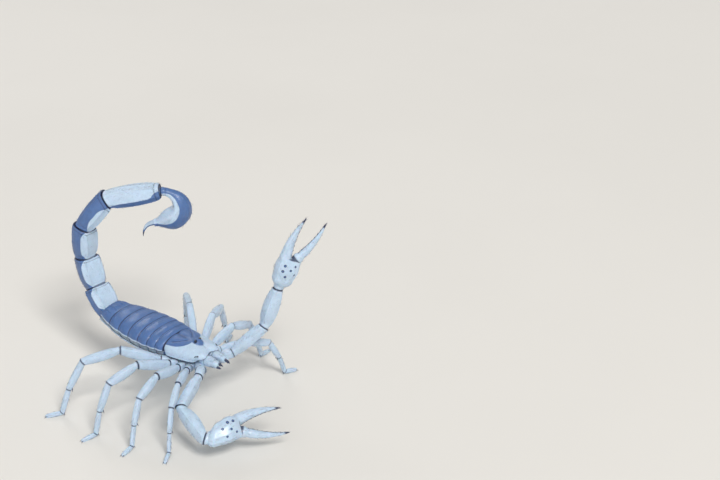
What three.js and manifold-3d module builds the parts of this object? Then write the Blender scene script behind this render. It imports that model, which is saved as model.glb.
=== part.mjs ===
// A life-size desert scorpion of the genus Hadrurus, standing high on its eight legs with the
// tail arched over the back, the left claw raised and the right claw held low across the front.
// Millimetres, +Z up, the head toward -Y, the animal's right side toward -X, the soles at z = 0.

import * as THREE from "three";
import { mergeVertices } from "three/addons/utils/BufferGeometryUtils.js";
import Module from "manifold-3d";

// ---------------------------------------------------------------- driving dimensions

const GAP = 0.3; // clear space between pieces that meet at a joint
const TRUNK_LEVEL = 18.6; // widest line of the trunk above the floor
const TRUNK_RISE = 1.6; // how much higher the hind end of the trunk stands

const CARAPACE = { length: 14.4, frontWidth: 9.4, rearWidth: 13.8, crown: 3.9, skirt: 0.7, notch: 1.1 };
const FURROW = { halfWidth: 0.9, depth: 0.35 }; // along the middle of the carapace's hind half
const EYE = { radius: 0.45, apart: 0.85, behindFront: 6.0, socket: 0.08 };
const EYE_MOUND = { halfWidth: 1.5, halfLength: 2.2, height: 0.7 };
const CHELICERA = { radius: 1.5, apart: 1.75, length: 6.4, drop: 0.3, behindFront: 3.7 };
const CHELICERA_FINGER = { length: 2.9, root: 0.62, tip: 0.26, insetBack: 0.7 };
const CHELICERA_UPPER = { aside: -0.35, lift: 0.35, droop: 0.7 };
const CHELICERA_LOWER = { aside: 0.45, lift: -0.3, droop: 0.5 };
const UNDERSIDE = { top: 1.0, depth: 3.7, frontHalfWidth: 3.2, rearHalfWidth: 5.2, behindFront: 2.6 };
const LEG_COXA = { halfWidths: [1.0, 1.2], top: 1.15, bottoms: [1.2, 1.35], aside: 1.2, drop: 0.3 };
const ARM_COXA = { halfWidths: [1.3, 1.7], top: 1.2, bottom: 1.8, aside: 2.2, behind: 3.2, drop: 0.4 };
const COXAE_MEET = { behindFront: 8.35, gather: 0.45 }; // where the leg coxae draw together, and how much

const SEGMENT_LENGTHS = [2.5, 3.1, 3.7, 4.2, 4.5, 4.7, 6.1]; // trunk segments behind the carapace
const TRUNK_WIDTHS = [13.6, 14.8, 15.6, 16.0, 15.6, 14.6, 12.8, 8.6]; // at their joints
const TRUNK_CROWN = 0.265; // height of the back above the widest line, per unit of width
const TRUNK_BELLY = 0.265; // depth of the belly below that line, per unit of width
const PECTEN = { length: 8.2, stem: 1.4, tooth: 1.6, teeth: 17, thickness: 0.7, sweep: 52 };

// Tail segments from the trunk outward. Pitch is measured from straight back (0) over upright (90)
// to straight forward (180); swing turns the segment's plane toward the animal's left.
const TAIL = [
  { length: 9.0, width: 8.2, height: 7.0, pitch: 46, swing: -6 },
  { length: 10.1, width: 7.8, height: 6.9, pitch: 66, swing: -8 },
  { length: 10.8, width: 7.5, height: 6.8, pitch: 93, swing: 8 },
  { length: 12.9, width: 7.2, height: 6.6, pitch: 129, swing: 27 },
  { length: 17.0, width: 6.9, height: 6.0, pitch: 169, swing: 35 },
];
const TELSON = { pitch: 346, swing: 36, length: 12.2, width: 7.4, belly: 5, back: 2.4, neck: 1.45 };
const TELSON_BEND = { reach: 4.4, turn: 3.2, inward: 9.2 }; // how the bulb's neck leaves the last segment
const STING = { length: 7.6, radius: 1.15, tip: 0.26, hook: 76 };

// Legs from front to back. Lengths run from trochanter to tarsus; hip is the distance behind the
// carapace front; heading is measured from straight sideways, toward the head.
const LEG_PARTS = ["trochanter", "femur", "patella", "tibia", "basitarsus", "tarsus"];
const LEGS = [
  { hip: 5.0, lengths: [2.4, 9.2, 8.4, 7.4, 6.2, 3.9], girth: 2.3 },
  { hip: 7.4, lengths: [2.6, 10.2, 9.2, 8.2, 6.8, 4.1], girth: 2.5 },
  { hip: 9.9, lengths: [2.8, 11.4, 10.2, 9.2, 7.6, 4.4], girth: 2.6 },
  { hip: 12.4, lengths: [3.2, 13.0, 11.8, 10.4, 8.6, 4.7], girth: 2.7 },
];
const LEG_POSES = {
  right: [
    { heading: 26, pitch: [-24, -66, -74] },
    { heading: 4, pitch: [-22, -68, -76] },
    { heading: -18, pitch: [-18, -66, -76] },
    { heading: -42, pitch: [-14, -62, -72] },
  ],
  left: [
    { heading: 22, pitch: [-18, -62, -72] },
    { heading: -2, pitch: [-22, -66, -72] },
    { heading: -26, pitch: [-16, -66, -74] },
    { heading: -48, pitch: [-15, -64, -70] },
  ],
};
const HIP = { aside: 5.6, drop: 2.6, trochanterPitch: 10 };
const TARSUS = { pitch: -9, toeHeight: 0.42, girth: 1.5 };

// Claw-bearing limbs: each direction is given as (right to left, front to back, up).
const ARM = { trochanter: 3.6, femur: 12.6, patella: 13.2, palm: 11.2, fixed: 15.0, movable: 14.2 };
const ARM_ROOT = { aside: 4.7, behindFront: 0.9, drop: 2.2 };
const ARM_POSES = {
  right: {
    trochanter: [-0.86, -0.5, -0.1],
    femur: [-0.93, -0.24, -0.3],
    patella: [-0.22, -0.9, -0.34],
    palm: [0.88, -0.4, 0.1],
    outer: [-0.3, -0.62, -0.72],
    opening: 27,
  },
  left: {
    trochanter: [0.84, -0.52, 0.16],
    femur: [0.8, -0.36, 0.5],
    patella: [0.36, -0.16, 0.92],
    palm: [0.28, -0.26, 0.92],
    outer: [0.76, -0.6, -0.2],
    opening: 22,
  },
};

const PALE = "#bcd2e6";
const SLATE = "#5d7aa6";
const NAVY = "#27345a";
const EYE_BLACK = "#0e1220";

// ---------------------------------------------------------------- shared geometry

const wasm = await Module();
wasm.setup();

const UP = new THREE.Vector3(0, 0, 1);
const BACK = new THREE.Vector3(0, 1, 0);

const radians = THREE.MathUtils.degToRad;
const lerp = THREE.MathUtils.lerp;
const smoothstep = THREE.MathUtils.smoothstep;
const vector = (x, y, z) => new THREE.Vector3(x, y, z);
const direction = (numbers) => vector(...numbers).normalize();
const ahead = (from, heading, distance) => from.clone().addScaledVector(heading, distance);
const curvedPower = (value, power) => Math.sign(value) * Math.abs(value) ** power;

// A closed tube along a curve. section(t) gives its half width, its height above and depth below
// the curve and how square its outline is. Its width lies square to up, or along the width axis of
// a tube that bends right round. Each end lies on a cutting plane, set back by half GAP: a straight
// tube leans toward the plane over its whole length, a bent one only near that end.
function tube({ curve, up, widthAxis, section, sides = 12, stations = 6, startNormal, endNormal }) {
  const geometry = new THREE.CylinderGeometry(1, 1, 1, sides, stations - 1);
  geometry.deleteAttribute("normal");
  geometry.deleteAttribute("uv");
  const first = curve.getTangent(0);
  const last = curve.getTangent(1);
  const startPlane = startNormal ?? first;
  const endPlane = endNormal ?? last;
  const reach = curve.isLineCurve3 ? 1 : 6;
  const position = geometry.attributes.position;
  for (let i = 0; i < position.count; i++) {
    const t = position.getY(i) + 0.5;
    const angle = Math.atan2(position.getZ(i), position.getX(i));
    const radius = Math.min(1, Math.hypot(position.getX(i), position.getZ(i)));
    const { halfWidth, top, bottom, square = 2 } = section(t, angle);
    const tangent = curve.getTangentAt(t);
    const side = (widthAxis ? widthAxis.clone().projectOnPlane(tangent) : tangent.clone().cross(up)).normalize();
    const rise = side.clone().cross(tangent);
    const power = 2 / square;
    const across = radius * halfWidth * curvedPower(Math.cos(angle), power);
    const height = radius * (angle > 0 ? top : bottom) * curvedPower(Math.sin(angle), power);
    const offset = side.multiplyScalar(across).addScaledVector(rise, height);
    const startShift = (GAP / 2 - offset.dot(startPlane)) / first.dot(startPlane);
    const endShift = (-GAP / 2 - offset.dot(endPlane)) / last.dot(endPlane);
    const point = curve.getPointAt(t).add(offset);
    point.addScaledVector(tangent, startShift * (1 - t) ** reach + endShift * t ** reach);
    position.setXYZ(i, point.x, point.y, point.z);
  }
  return mergeVertices(geometry, 1e-4);
}

// The plane that halves the bend between two directions.
const bend = (before, after) => before.clone().add(after).normalize();

// A width that swells from one end value to the other through a fuller middle.
function swell(from, middle, to, t) {
  return t < 0.5
    ? lerp(from, middle, Math.sin(Math.PI * t))
    : lerp(to, middle, Math.sin(Math.PI * t));
}

function solidOf(geometry) {
  const bare = geometry.clone();
  bare.deleteAttribute("normal");
  bare.deleteAttribute("uv");
  const merged = mergeVertices(bare, 1e-4);
  return new wasm.Manifold(
    new wasm.Mesh({
      numProp: 3,
      vertProperties: merged.attributes.position.array,
      triVerts: new Uint32Array(merged.index.array),
    }),
  );
}

function geometryOf(solid) {
  const { vertProperties, triVerts } = solid.getMesh();
  const geometry = new THREE.BufferGeometry();
  geometry.setAttribute("position", new THREE.BufferAttribute(vertProperties, 3));
  geometry.setIndex(new THREE.BufferAttribute(triVerts, 1));
  return geometry;
}

const joined = (geometries) =>
  geometryOf(geometries.map(solidOf).reduce((whole, piece) => whole.add(piece)));

const cut = (geometry, cutters) =>
  geometryOf(cutters.map(solidOf).reduce((rest, tool) => rest.subtract(tool), solidOf(geometry)));

function piece(name, geometry, color, roughness = 0.5) {
  const shaded = geometry.clone();
  shaded.computeVertexNormals();
  const material = new THREE.MeshStandardMaterial({ color, roughness, metalness: 0 });
  const mesh = new THREE.Mesh(shaded, material);
  mesh.name = name;
  return mesh;
}

// ---------------------------------------------------------------- trunk

const TRUNK_LENGTH = SEGMENT_LENGTHS.reduce((sum, length) => sum + length);

// The trunk's frame: y = 0 at the joint of carapace and back, the carapace in front of it.
function trunkPoint(y) {
  const share = Math.max(0, y) / TRUNK_LENGTH;
  return vector(0, y, TRUNK_LEVEL + TRUNK_RISE * share ** 2);
}

function carapace() {
  const front = trunkPoint(-CARAPACE.length);
  const eyeShare = EYE.behindFront / CARAPACE.length;
  const section = (t, angle) => {
    const fromMiddle = Math.cos(angle) * lerp(CARAPACE.frontWidth, CARAPACE.rearWidth, t) * 0.5;
    const along = (t - eyeShare) * CARAPACE.length;
    const offMound = (fromMiddle / EYE_MOUND.halfWidth) ** 2 + (along / EYE_MOUND.halfLength) ** 2;
    const nearEyes = Math.exp(-offMound);
    const furrow = Math.exp(-((fromMiddle / FURROW.halfWidth) ** 2)) * smoothstep(t, 0.5, 0.8);
    const crown = lerp(CARAPACE.crown * 0.66, CARAPACE.crown, Math.sin((t * Math.PI) / 2));
    return {
      halfWidth: lerp(CARAPACE.frontWidth, CARAPACE.rearWidth, Math.sin((t * Math.PI) / 2) ** 1.2) / 2,
      top: crown + EYE_MOUND.height * nearEyes - FURROW.depth * furrow,
      bottom: CARAPACE.skirt,
      square: 2.5,
    };
  };
  const shell = tube({
    curve: new THREE.LineCurve3(front, trunkPoint(0)),
    up: UP,
    section,
    sides: 24,
    stations: 9,
  });
  // The front margin is hollowed in the middle and rounded off at the two corners.
  const position = shell.attributes.position;
  for (let i = 0; i < position.count; i++) {
    const y = position.getY(i);
    const aside = Math.abs(position.getX(i)) / (CARAPACE.frontWidth / 2);
    const nearFront = smoothstep(-y, CARAPACE.length * 0.72, CARAPACE.length);
    const setBack = CARAPACE.notch * (Math.exp(-((aside / 0.4) ** 2)) + smoothstep(aside, 0.7, 1));
    position.setY(i, y + setBack * nearFront);
  }
  return shell;
}

function eyePlace(side) {
  const y = EYE.behindFront - CARAPACE.length;
  const height = CARAPACE.crown * 0.95 + EYE_MOUND.height * 0.55;
  return vector(side * EYE.apart, y, TRUNK_LEVEL + height);
}

function eyeball(side, radius) {
  const place = eyePlace(side);
  return new THREE.SphereGeometry(radius, 8, 6).translate(place.x, place.y, place.z);
}

function cheliceraCurve(side) {
  const back = trunkPoint(CHELICERA.behindFront - CARAPACE.length);
  back.add(vector(side * CHELICERA.apart, 0, -CHELICERA.drop));
  return new THREE.LineCurve3(back, ahead(back, BACK, -CHELICERA.length));
}

function cheliceraBody(side, margin) {
  const radius = CHELICERA.radius + margin;
  return tube({
    curve: cheliceraCurve(side),
    up: UP,
    section: (t) => ({
      halfWidth: margin > 0 ? radius : radius * swell(0.9, 1.1, 0.72, t),
      top: margin > 0 ? radius : radius * swell(0.9, 1.1, 0.72, t),
      bottom: margin > 0 ? radius : radius * swell(0.9, 1.05, 0.7, t),
    }),
    sides: 12,
    stations: margin > 0 ? 2 : 5,
  });
}

function chelicera(side) {
  const end = cheliceraCurve(side).getPoint(1);
  const finger = ({ aside, lift, droop }) => {
    const { length } = CHELICERA_FINGER;
    const root = end.clone().add(vector(side * aside, CHELICERA_FINGER.insetBack, lift));
    const tip = root.clone().add(vector(side * -0.25, -length, -droop));
    const knuckle = root.clone().add(vector(side * 0.15, -length * 0.6, -0.1));
    return tube({
      curve: new THREE.QuadraticBezierCurve3(root, knuckle, tip),
      up: UP,
      section: (t) => {
        const radius = lerp(CHELICERA_FINGER.root, CHELICERA_FINGER.tip, t);
        return { halfWidth: radius, top: radius, bottom: radius };
      },
      sides: 6,
      stations: 4,
    });
  };
  return joined([cheliceraBody(side, 0), finger(CHELICERA_UPPER), finger(CHELICERA_LOWER)]);
}

const backWidth = (y) => {
  let start = 0;
  for (let i = 0; i < SEGMENT_LENGTHS.length; i++) {
    const end = start + SEGMENT_LENGTHS[i];
    if (y <= end + 1e-6) return lerp(TRUNK_WIDTHS[i], TRUNK_WIDTHS[i + 1], (y - start) / (end - start));
    start = end;
  }
  return TRUNK_WIDTHS.at(-1);
};

// Each segment's plates start a little narrower, under the hind edge of the plates before them.
function trunkSegment(index, start, end, startNormal, endNormal) {
  const tuck = (t) => 0.94 + 0.06 * smoothstep(t, 0, 0.35);
  return tube({
    curve: new THREE.LineCurve3(trunkPoint(start), trunkPoint(end)),
    up: UP,
    section: (t) => {
      const width = backWidth(lerp(start, end, t)) * tuck(t);
      const last = index === SEGMENT_LENGTHS.length - 1 ? smoothstep(t, 0.2, 1) : 0;
      return {
        halfWidth: width / 2,
        top: width * lerp(TRUNK_CROWN, 0.36, last),
        bottom: width * lerp(TRUNK_BELLY, 0.38, last),
        square: 2.5,
      };
    },
    sides: 20,
    stations: index === SEGMENT_LENGTHS.length - 1 ? 5 : 4,
    startNormal,
    endNormal,
  });
}

function hipPoint(leg, side) {
  return trunkPoint(LEGS[leg].hip - CARAPACE.length).add(vector(side * HIP.aside, 0, -HIP.drop));
}

function legHeading(leg, side) {
  const pose = LEG_POSES[side < 0 ? "right" : "left"][leg];
  const angle = radians(pose.heading);
  return vector(side * Math.cos(angle), -Math.sin(angle), 0);
}

function coxaRoot(leg, side) {
  const hip = hipPoint(leg, side);
  const meeting = COXAE_MEET.behindFront - CARAPACE.length;
  return vector(side * LEG_COXA.aside, lerp(hip.y, meeting, COXAE_MEET.gather), hip.z - LEG_COXA.drop);
}

function trochanterDirection(leg, side) {
  const pitch = radians(HIP.trochanterPitch);
  return legHeading(leg, side).multiplyScalar(Math.cos(pitch)).addScaledVector(UP, Math.sin(pitch));
}

function armDirections(side) {
  const pose = ARM_POSES[side < 0 ? "right" : "left"];
  return [pose.trochanter, pose.femur, pose.patella, pose.palm].map(direction);
}

function armCoxaRoot(side) {
  const arm = armRoot(side);
  return vector(side * ARM_COXA.aside, arm.y + ARM_COXA.behind, arm.z - ARM_COXA.drop);
}

function armRoot(side) {
  return trunkPoint(ARM_ROOT.behindFront - CARAPACE.length).add(
    vector(side * ARM_ROOT.aside, 0, -ARM_ROOT.drop),
  );
}

// Below the carapace: the fixed coxae of the legs and claw limbs around the breastplate.
function underside() {
  const top = TRUNK_LEVEL - CARAPACE.skirt - GAP;
  const core = tube({
    curve: new THREE.LineCurve3(trunkPoint(UNDERSIDE.behindFront - CARAPACE.length), trunkPoint(0)),
    up: UP,
    section: (t) => ({
      halfWidth: lerp(UNDERSIDE.frontHalfWidth, UNDERSIDE.rearHalfWidth, t),
      top: -UNDERSIDE.top,
      bottom: lerp(UNDERSIDE.depth * 0.8, UNDERSIDE.depth, t) + UNDERSIDE.top,
      square: 3,
    }),
    sides: 14,
    stations: 4,
  });
  const coxae = [];
  for (const side of [-1, 1]) {
    for (let leg = 0; leg < LEGS.length; leg++) {
      const hip = hipPoint(leg, side);
      const root = coxaRoot(leg, side);
      coxae.push(
        tube({
          curve: new THREE.LineCurve3(root, hip),
          up: UP,
          section: (t) => ({
            halfWidth: lerp(...LEG_COXA.halfWidths, t),
            top: LEG_COXA.top,
            bottom: lerp(...LEG_COXA.bottoms, t),
            square: 2.4,
          }),
          sides: 8,
          stations: 2,
          endNormal: bend(hip.clone().sub(root).normalize(), trochanterDirection(leg, side)),
        }),
      );
    }
    const arm = armRoot(side);
    const root = armCoxaRoot(side);
    coxae.push(
      tube({
        curve: new THREE.LineCurve3(root, arm),
        up: UP,
        section: (t) => ({
          halfWidth: lerp(...ARM_COXA.halfWidths, t),
          top: ARM_COXA.top,
          bottom: ARM_COXA.bottom,
          square: 2.4,
        }),
        sides: 10,
        stations: 3,
        endNormal: bend(arm.clone().sub(root).normalize(), armDirections(side)[0]),
      }),
    );
  }
  const above = new THREE.BoxGeometry(30, 40, 10).translate(0, -5, top + 5);
  return cut(joined([core, ...coxae]), [above, cheliceraBody(-1, GAP), cheliceraBody(1, GAP)]);
}

// A comb of the underside: a stem with a row of teeth along its hind edge.
function pecten(side) {
  const outline = new THREE.Shape();
  const pitch = PECTEN.length / PECTEN.teeth;
  outline.moveTo(0, 0);
  outline.lineTo(0, -PECTEN.stem * 0.9);
  outline.lineTo(PECTEN.length, -PECTEN.stem * 0.45);
  for (let tooth = PECTEN.teeth - 1; tooth >= 0; tooth--) {
    const start = tooth * pitch;
    const length = PECTEN.tooth * (1 - 0.35 * (tooth / PECTEN.teeth) ** 2);
    outline.lineTo(start + pitch * 0.95, length);
    outline.lineTo(start + pitch * 0.5, length);
    outline.lineTo(start + pitch * 0.3, 0);
  }
  const geometry = new THREE.ExtrudeGeometry(outline, { depth: PECTEN.thickness, bevelEnabled: false });
  const root = trunkPoint(SEGMENT_LENGTHS[0] * 0.6);
  const drop = TRUNK_WIDTHS[1] * TRUNK_BELLY + GAP + PECTEN.thickness + 0.35;
  geometry.rotateZ(radians(90 - PECTEN.sweep));
  if (side < 0) geometry.rotateY(Math.PI).translate(0, 0, PECTEN.thickness);
  return geometry.translate(side * 1.1, root.y + 0.6, root.z - drop);
}

// ---------------------------------------------------------------- tail

function tailDirection({ pitch, swing }) {
  const back = vector(-Math.sin(radians(swing)), Math.cos(radians(swing)), 0);
  const level = Math.cos(radians(pitch));
  const steep = Math.sin(radians(pitch));
  return {
    along: back.clone().multiplyScalar(level).addScaledVector(UP, steep),
    dorsal: back.clone().multiplyScalar(-steep).addScaledVector(UP, level),
  };
}

const tailRoot = trunkPoint(TRUNK_LENGTH);
const tailFrames = TAIL.map(tailDirection);
const tailJoints = [tailRoot];
TAIL.forEach((segment, i) => {
  tailJoints.push(ahead(tailJoints[i], tailFrames[i].along, segment.length));
});
const trunkEndDirection = tailRoot.clone().sub(trunkPoint(TRUNK_LENGTH - SEGMENT_LENGTHS.at(-1)));
trunkEndDirection.normalize();

function tailSegment(index) {
  const { width, height } = TAIL[index];
  const { along, dorsal } = tailFrames[index];
  const before = index === 0 ? trunkEndDirection : tailFrames[index - 1].along;
  const after = tailFrames[index + 1]?.along ?? along;
  const last = index === TAIL.length - 1;
  return tube({
    curve: new THREE.LineCurve3(tailJoints[index], tailJoints[index + 1]),
    up: dorsal,
    section: (t) => {
      const full = last ? swell(0.86, 1, 0.68, t) : swell(0.8, 1, 0.9, t);
      return {
        halfWidth: (width / 2) * full,
        top: height * 0.44 * full,
        bottom: height * 0.56 * full,
        square: 2.7,
      };
    },
    sides: 16,
    stations: 6,
    startNormal: bend(before, along),
    endNormal: bend(along, after),
  });
}

const telsonFrame = tailDirection(TELSON);

function vesicleCurve() {
  const joint = tailJoints.at(-1);
  const { along: before, dorsal: inward } = tailFrames.at(-1);
  const beyond = ahead(joint, before, TELSON_BEND.reach);
  const turned = ahead(ahead(beyond, before, TELSON_BEND.turn), inward, TELSON_BEND.inward);
  const end = ahead(turned, telsonFrame.along, TELSON.length);
  return new THREE.CubicBezierCurve3(joint, beyond, turned, end);
}

function vesicle() {
  return tube({
    curve: vesicleCurve(),
    widthAxis: telsonFrame.along.clone().cross(telsonFrame.dorsal),
    section: (t) => {
      const bulb = smoothstep(t, 0.1, 0.54) * (1 - 0.95 * smoothstep(t, 0.6, 1) ** 1.2);
      const crest = smoothstep(t, 0.4, 0.7) * (1 - 0.95 * smoothstep(t, 0.7, 1) ** 1.2);
      return {
        halfWidth: lerp(TELSON.neck, TELSON.width / 2, bulb),
        top: lerp(TELSON.neck * 0.85, TELSON.back, crest) * (1 - 0.35 * smoothstep(t, 0.8, 1)),
        bottom: lerp(TELSON.neck * 0.85, TELSON.belly, bulb),
      };
    },
    sides: 12,
    stations: 13,
  });
}

function sting() {
  const curve = vesicleCurve();
  const start = curve.getPoint(1);
  const along = curve.getTangent(1);
  const hook = radians(STING.hook);
  const turned = along.clone().multiplyScalar(Math.cos(hook));
  turned.addScaledVector(telsonFrame.dorsal, -Math.sin(hook)).normalize();
  const control = ahead(start, along, STING.length * 0.5);
  const tip = ahead(control, turned, STING.length * 0.55);
  return tube({
    curve: new THREE.QuadraticBezierCurve3(start, control, tip),
    widthAxis: telsonFrame.along.clone().cross(telsonFrame.dorsal),
    section: (t) => {
      const radius = lerp(STING.radius, STING.tip, t ** 0.8);
      return { halfWidth: radius, top: radius, bottom: radius };
    },
    sides: 10,
    stations: 8,
  });
}

// ---------------------------------------------------------------- legs

// Joints of a leg from hip to toe: the femur's pitch is the one that sets the sole on the floor.
function legJoints(leg, side) {
  const { lengths } = LEGS[leg];
  const pose = LEG_POSES[side < 0 ? "right" : "left"][leg];
  const heading = legHeading(leg, side);
  const pitches = [HIP.trochanterPitch, 0, ...pose.pitch, TARSUS.pitch].map(radians);
  const hip = hipPoint(leg, side);
  const femur = LEG_PARTS.indexOf("femur");
  let rest = TARSUS.toeHeight - hip.z;
  pitches.forEach((pitch, i) => {
    if (i !== femur) rest -= lengths[i] * Math.sin(pitch);
  });
  pitches[femur] = Math.asin(rest / lengths[femur]);
  const directions = pitches.map((pitch) =>
    heading.clone().multiplyScalar(Math.cos(pitch)).addScaledVector(UP, Math.sin(pitch)),
  );
  const points = [hip];
  directions.forEach((along, i) => points.push(ahead(points[i], along, lengths[i])));
  return { points, directions, before: hip.clone().sub(coxaRoot(leg, side)).normalize() };
}

// One or two neighbouring limb parts as one solid, cut at its two outer joints.
function limbPiece({ points, directions, before: root }, first, last, girths, sides = 8) {
  const bars = [];
  for (let i = first; i <= last; i++) {
    const [from, middle, to] = girths[i - first];
    const before = directions[i - 1] ?? root;
    const after = directions[i + 1] ?? directions[i];
    const overlap = GAP * 1.5;
    const start = i === first ? points[i] : ahead(points[i], directions[i], -overlap);
    const end = i === last ? points[i + 1] : ahead(points[i + 1], directions[i], overlap);
    bars.push(
      tube({
        curve: new THREE.LineCurve3(start, end),
        up: UP,
        section: (t) => {
          const deep = swell(from, middle, to, t);
          return { halfWidth: deep * 0.42, top: deep / 2, bottom: deep / 2, square: 2.4 };
        },
        sides,
        stations: 3,
        startNormal: i === first ? bend(before, directions[i]) : undefined,
        endNormal: i === last ? bend(directions[i], after) : undefined,
      }),
    );
  }
  return bars.length === 1 ? bars[0] : joined(bars);
}

function legPieces(leg, side) {
  const name = `leg${leg + 1}_${side < 0 ? "right" : "left"}`;
  const joints = legJoints(leg, side);
  const { girth } = LEGS[leg];
  const thigh = limbPiece(joints, 0, 1, [
    [girth * 0.95, girth * 1.05, girth],
    [girth * 0.85, girth * 1.2, girth * 0.95],
  ]);
  const shin = limbPiece(joints, 2, 3, [
    [girth * 0.8, girth * 1.1, girth * 0.85],
    [girth * 0.75, girth * 0.85, girth * 0.66],
  ]);
  const foot = limbPiece(joints, 4, 5, [
    [girth * 0.6, girth * 0.66, girth * 0.56],
    [TARSUS.girth * 0.85, TARSUS.girth, TARSUS.girth * 0.8],
  ]);
  const belowFloor = new THREE.BoxGeometry(200, 200, 10).translate(0, 0, -5);
  return [
    piece(`${name}_femur`, thigh, PALE),
    piece(`${name}_tibia`, shin, PALE),
    piece(`${name}_foot`, cut(foot, [belowFloor]), PALE),
  ];
}

// ---------------------------------------------------------------- claw limbs

const CLAW_PROFILE = {
  palmWidth: [1.4, 3.3, 3.8, 3.5], // half widths from wrist to finger roots
  palmThickness: [1.25, 2.7, 3.0, 2.2], // half thicknesses at the same places
  fixedRoot: 1.6, // distance of the fixed finger's root inward from the palm's axis
  fixedSink: 1.2, // how deep that root sits in the palm
  movableRoot: 1.9, // distance of the movable finger's root outward from the axis
  curve: 1.5, // how far a finger bows
  fixedHalfWidth: 1.9, // at the root of the fixed finger
  movableHalfWidth: 1.6, // at the root of the movable finger
  tipHalfWidth: 0.3,
};
const ARM_GIRTHS = { trochanter: [2.9, 3.4, 3.0], femur: [2.7, 3.7, 3.4], patella: [3.0, 4.9, 3.2] };

function along4(values, t) {
  const place = Math.min(t, 0.9999) * (values.length - 1);
  const index = Math.floor(place);
  const share = (1 - Math.cos(Math.PI * (place - index))) / 2;
  return lerp(values[index], values[index + 1], share);
}

function fingerCurve(root, heading, inward, length) {
  const bow = CLAW_PROFILE.curve;
  const knuckle = ahead(ahead(root, heading, length * 0.5), inward, -bow * 0.9);
  const tip = ahead(ahead(root, heading, length), inward, bow * 0.75);
  return new THREE.QuadraticBezierCurve3(root, knuckle, tip);
}

function fingerSection(width, t) {
  const size = lerp(width, CLAW_PROFILE.tipHalfWidth, t ** 1.25);
  return { halfWidth: size, top: size * 0.85, bottom: size * 0.85 };
}

function armPieces(side) {
  const sideName = side < 0 ? "right" : "left";
  const pose = ARM_POSES[sideName];
  const directions = armDirections(side);
  const lengths = [ARM.trochanter, ARM.femur, ARM.patella, ARM.palm];
  const points = [armRoot(side)];
  lengths.forEach((length, i) => points.push(ahead(points[i], directions[i], length)));
  const limb = { points, directions, before: points[0].clone().sub(armCoxaRoot(side)).normalize() };
  const palmAxis = directions[3];
  const outer = direction(pose.outer);
  outer.addScaledVector(palmAxis, -outer.dot(palmAxis)).normalize();
  const face = outer.clone().cross(palmAxis);
  const palm = tube({
    curve: new THREE.LineCurve3(points[3], points[4]),
    up: face,
    section: (t) => ({
      halfWidth: along4(CLAW_PROFILE.palmWidth, t),
      top: along4(CLAW_PROFILE.palmThickness, t),
      bottom: along4(CLAW_PROFILE.palmThickness, t),
      square: 2.3,
    }),
    sides: 14,
    stations: 7,
    startNormal: bend(directions[2], palmAxis),
  });
  const insidePalm = ahead(points[4], palmAxis, -CLAW_PROFILE.fixedSink);
  const fixedRoot = ahead(insidePalm, outer, -CLAW_PROFILE.fixedRoot);
  const fixedFinger = tube({
    curve: fingerCurve(fixedRoot, palmAxis, outer, ARM.fixed),
    up: face,
    section: (t) => fingerSection(CLAW_PROFILE.fixedHalfWidth, t),
    sides: 8,
    stations: 8,
  });
  const opening = radians(pose.opening);
  const openAxis = palmAxis.clone().multiplyScalar(Math.cos(opening));
  openAxis.addScaledVector(outer, Math.sin(opening));
  const openInward = outer.clone().multiplyScalar(-Math.cos(opening));
  openInward.addScaledVector(palmAxis, Math.sin(opening));
  const movableRoot = ahead(ahead(points[4], palmAxis, GAP), outer, CLAW_PROFILE.movableRoot);
  const movableFinger = tube({
    curve: fingerCurve(movableRoot, openAxis, openInward, ARM.movable),
    up: face,
    section: (t) => fingerSection(CLAW_PROFILE.movableHalfWidth, t),
    sides: 8,
    stations: 8,
    startNormal: palmAxis,
  });
  const name = `claw_${sideName}`;
  return [
    piece(`${name}_trochanter`, limbPiece(limb, 0, 0, [ARM_GIRTHS.trochanter], 10), PALE),
    piece(`${name}_femur`, limbPiece(limb, 1, 1, [ARM_GIRTHS.femur], 10), PALE),
    piece(`${name}_patella`, limbPiece(limb, 2, 2, [ARM_GIRTHS.patella], 12), PALE),
    piece(`${name}_palm`, joined([palm, fixedFinger]), PALE),
    piece(`${name}_movable_finger`, movableFinger, PALE),
  ];
}

// ---------------------------------------------------------------- the animal

function trunkPieces() {
  const sockets = [-1, 1].map((side) => eyeball(side, EYE.radius + EYE.socket));
  const recesses = [-1, 1].map((side) => cheliceraBody(side, GAP));
  const pieces = [
    piece("carapace", cut(carapace(), [...sockets, ...recesses]), SLATE),
    piece("eye_right", eyeball(-1, EYE.radius), EYE_BLACK, 0.1),
    piece("eye_left", eyeball(1, EYE.radius), EYE_BLACK, 0.1),
    piece("chelicera_right", chelicera(-1), PALE),
    piece("chelicera_left", chelicera(1), PALE),
    piece("underside", underside(), PALE),
    piece("pecten_right", pecten(-1), PALE),
    piece("pecten_left", pecten(1), PALE),
  ];
  let start = 0;
  SEGMENT_LENGTHS.forEach((length, i) => {
    const end = start + length;
    const last = i === SEGMENT_LENGTHS.length - 1;
    const endNormal = last ? bend(trunkEndDirection, tailFrames[0].along) : BACK;
    pieces.push(piece(`trunk_segment_${i + 1}`, trunkSegment(i, start, end, BACK, endNormal), SLATE));
    start = end;
  });
  return pieces;
}

function tailPieces() {
  return [
    ...TAIL.map((_, i) => piece(`tail_segment_${i + 1}`, tailSegment(i), SLATE)),
    piece("venom_bulb", vesicle(), SLATE),
    piece("sting", sting(), NAVY, 0.3),
  ];
}

function groupOf(pieces) {
  const group = new THREE.Group();
  group.add(...pieces);
  return group;
}

const scorpion = new THREE.Group();
scorpion.add(groupOf(trunkPieces()), groupOf(tailPieces()));
for (const side of [-1, 1]) {
  scorpion.add(groupOf(armPieces(side)));
  for (let leg = 0; leg < LEGS.length; leg++) {
    scorpion.add(groupOf(legPieces(leg, side)));
  }
}

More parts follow.
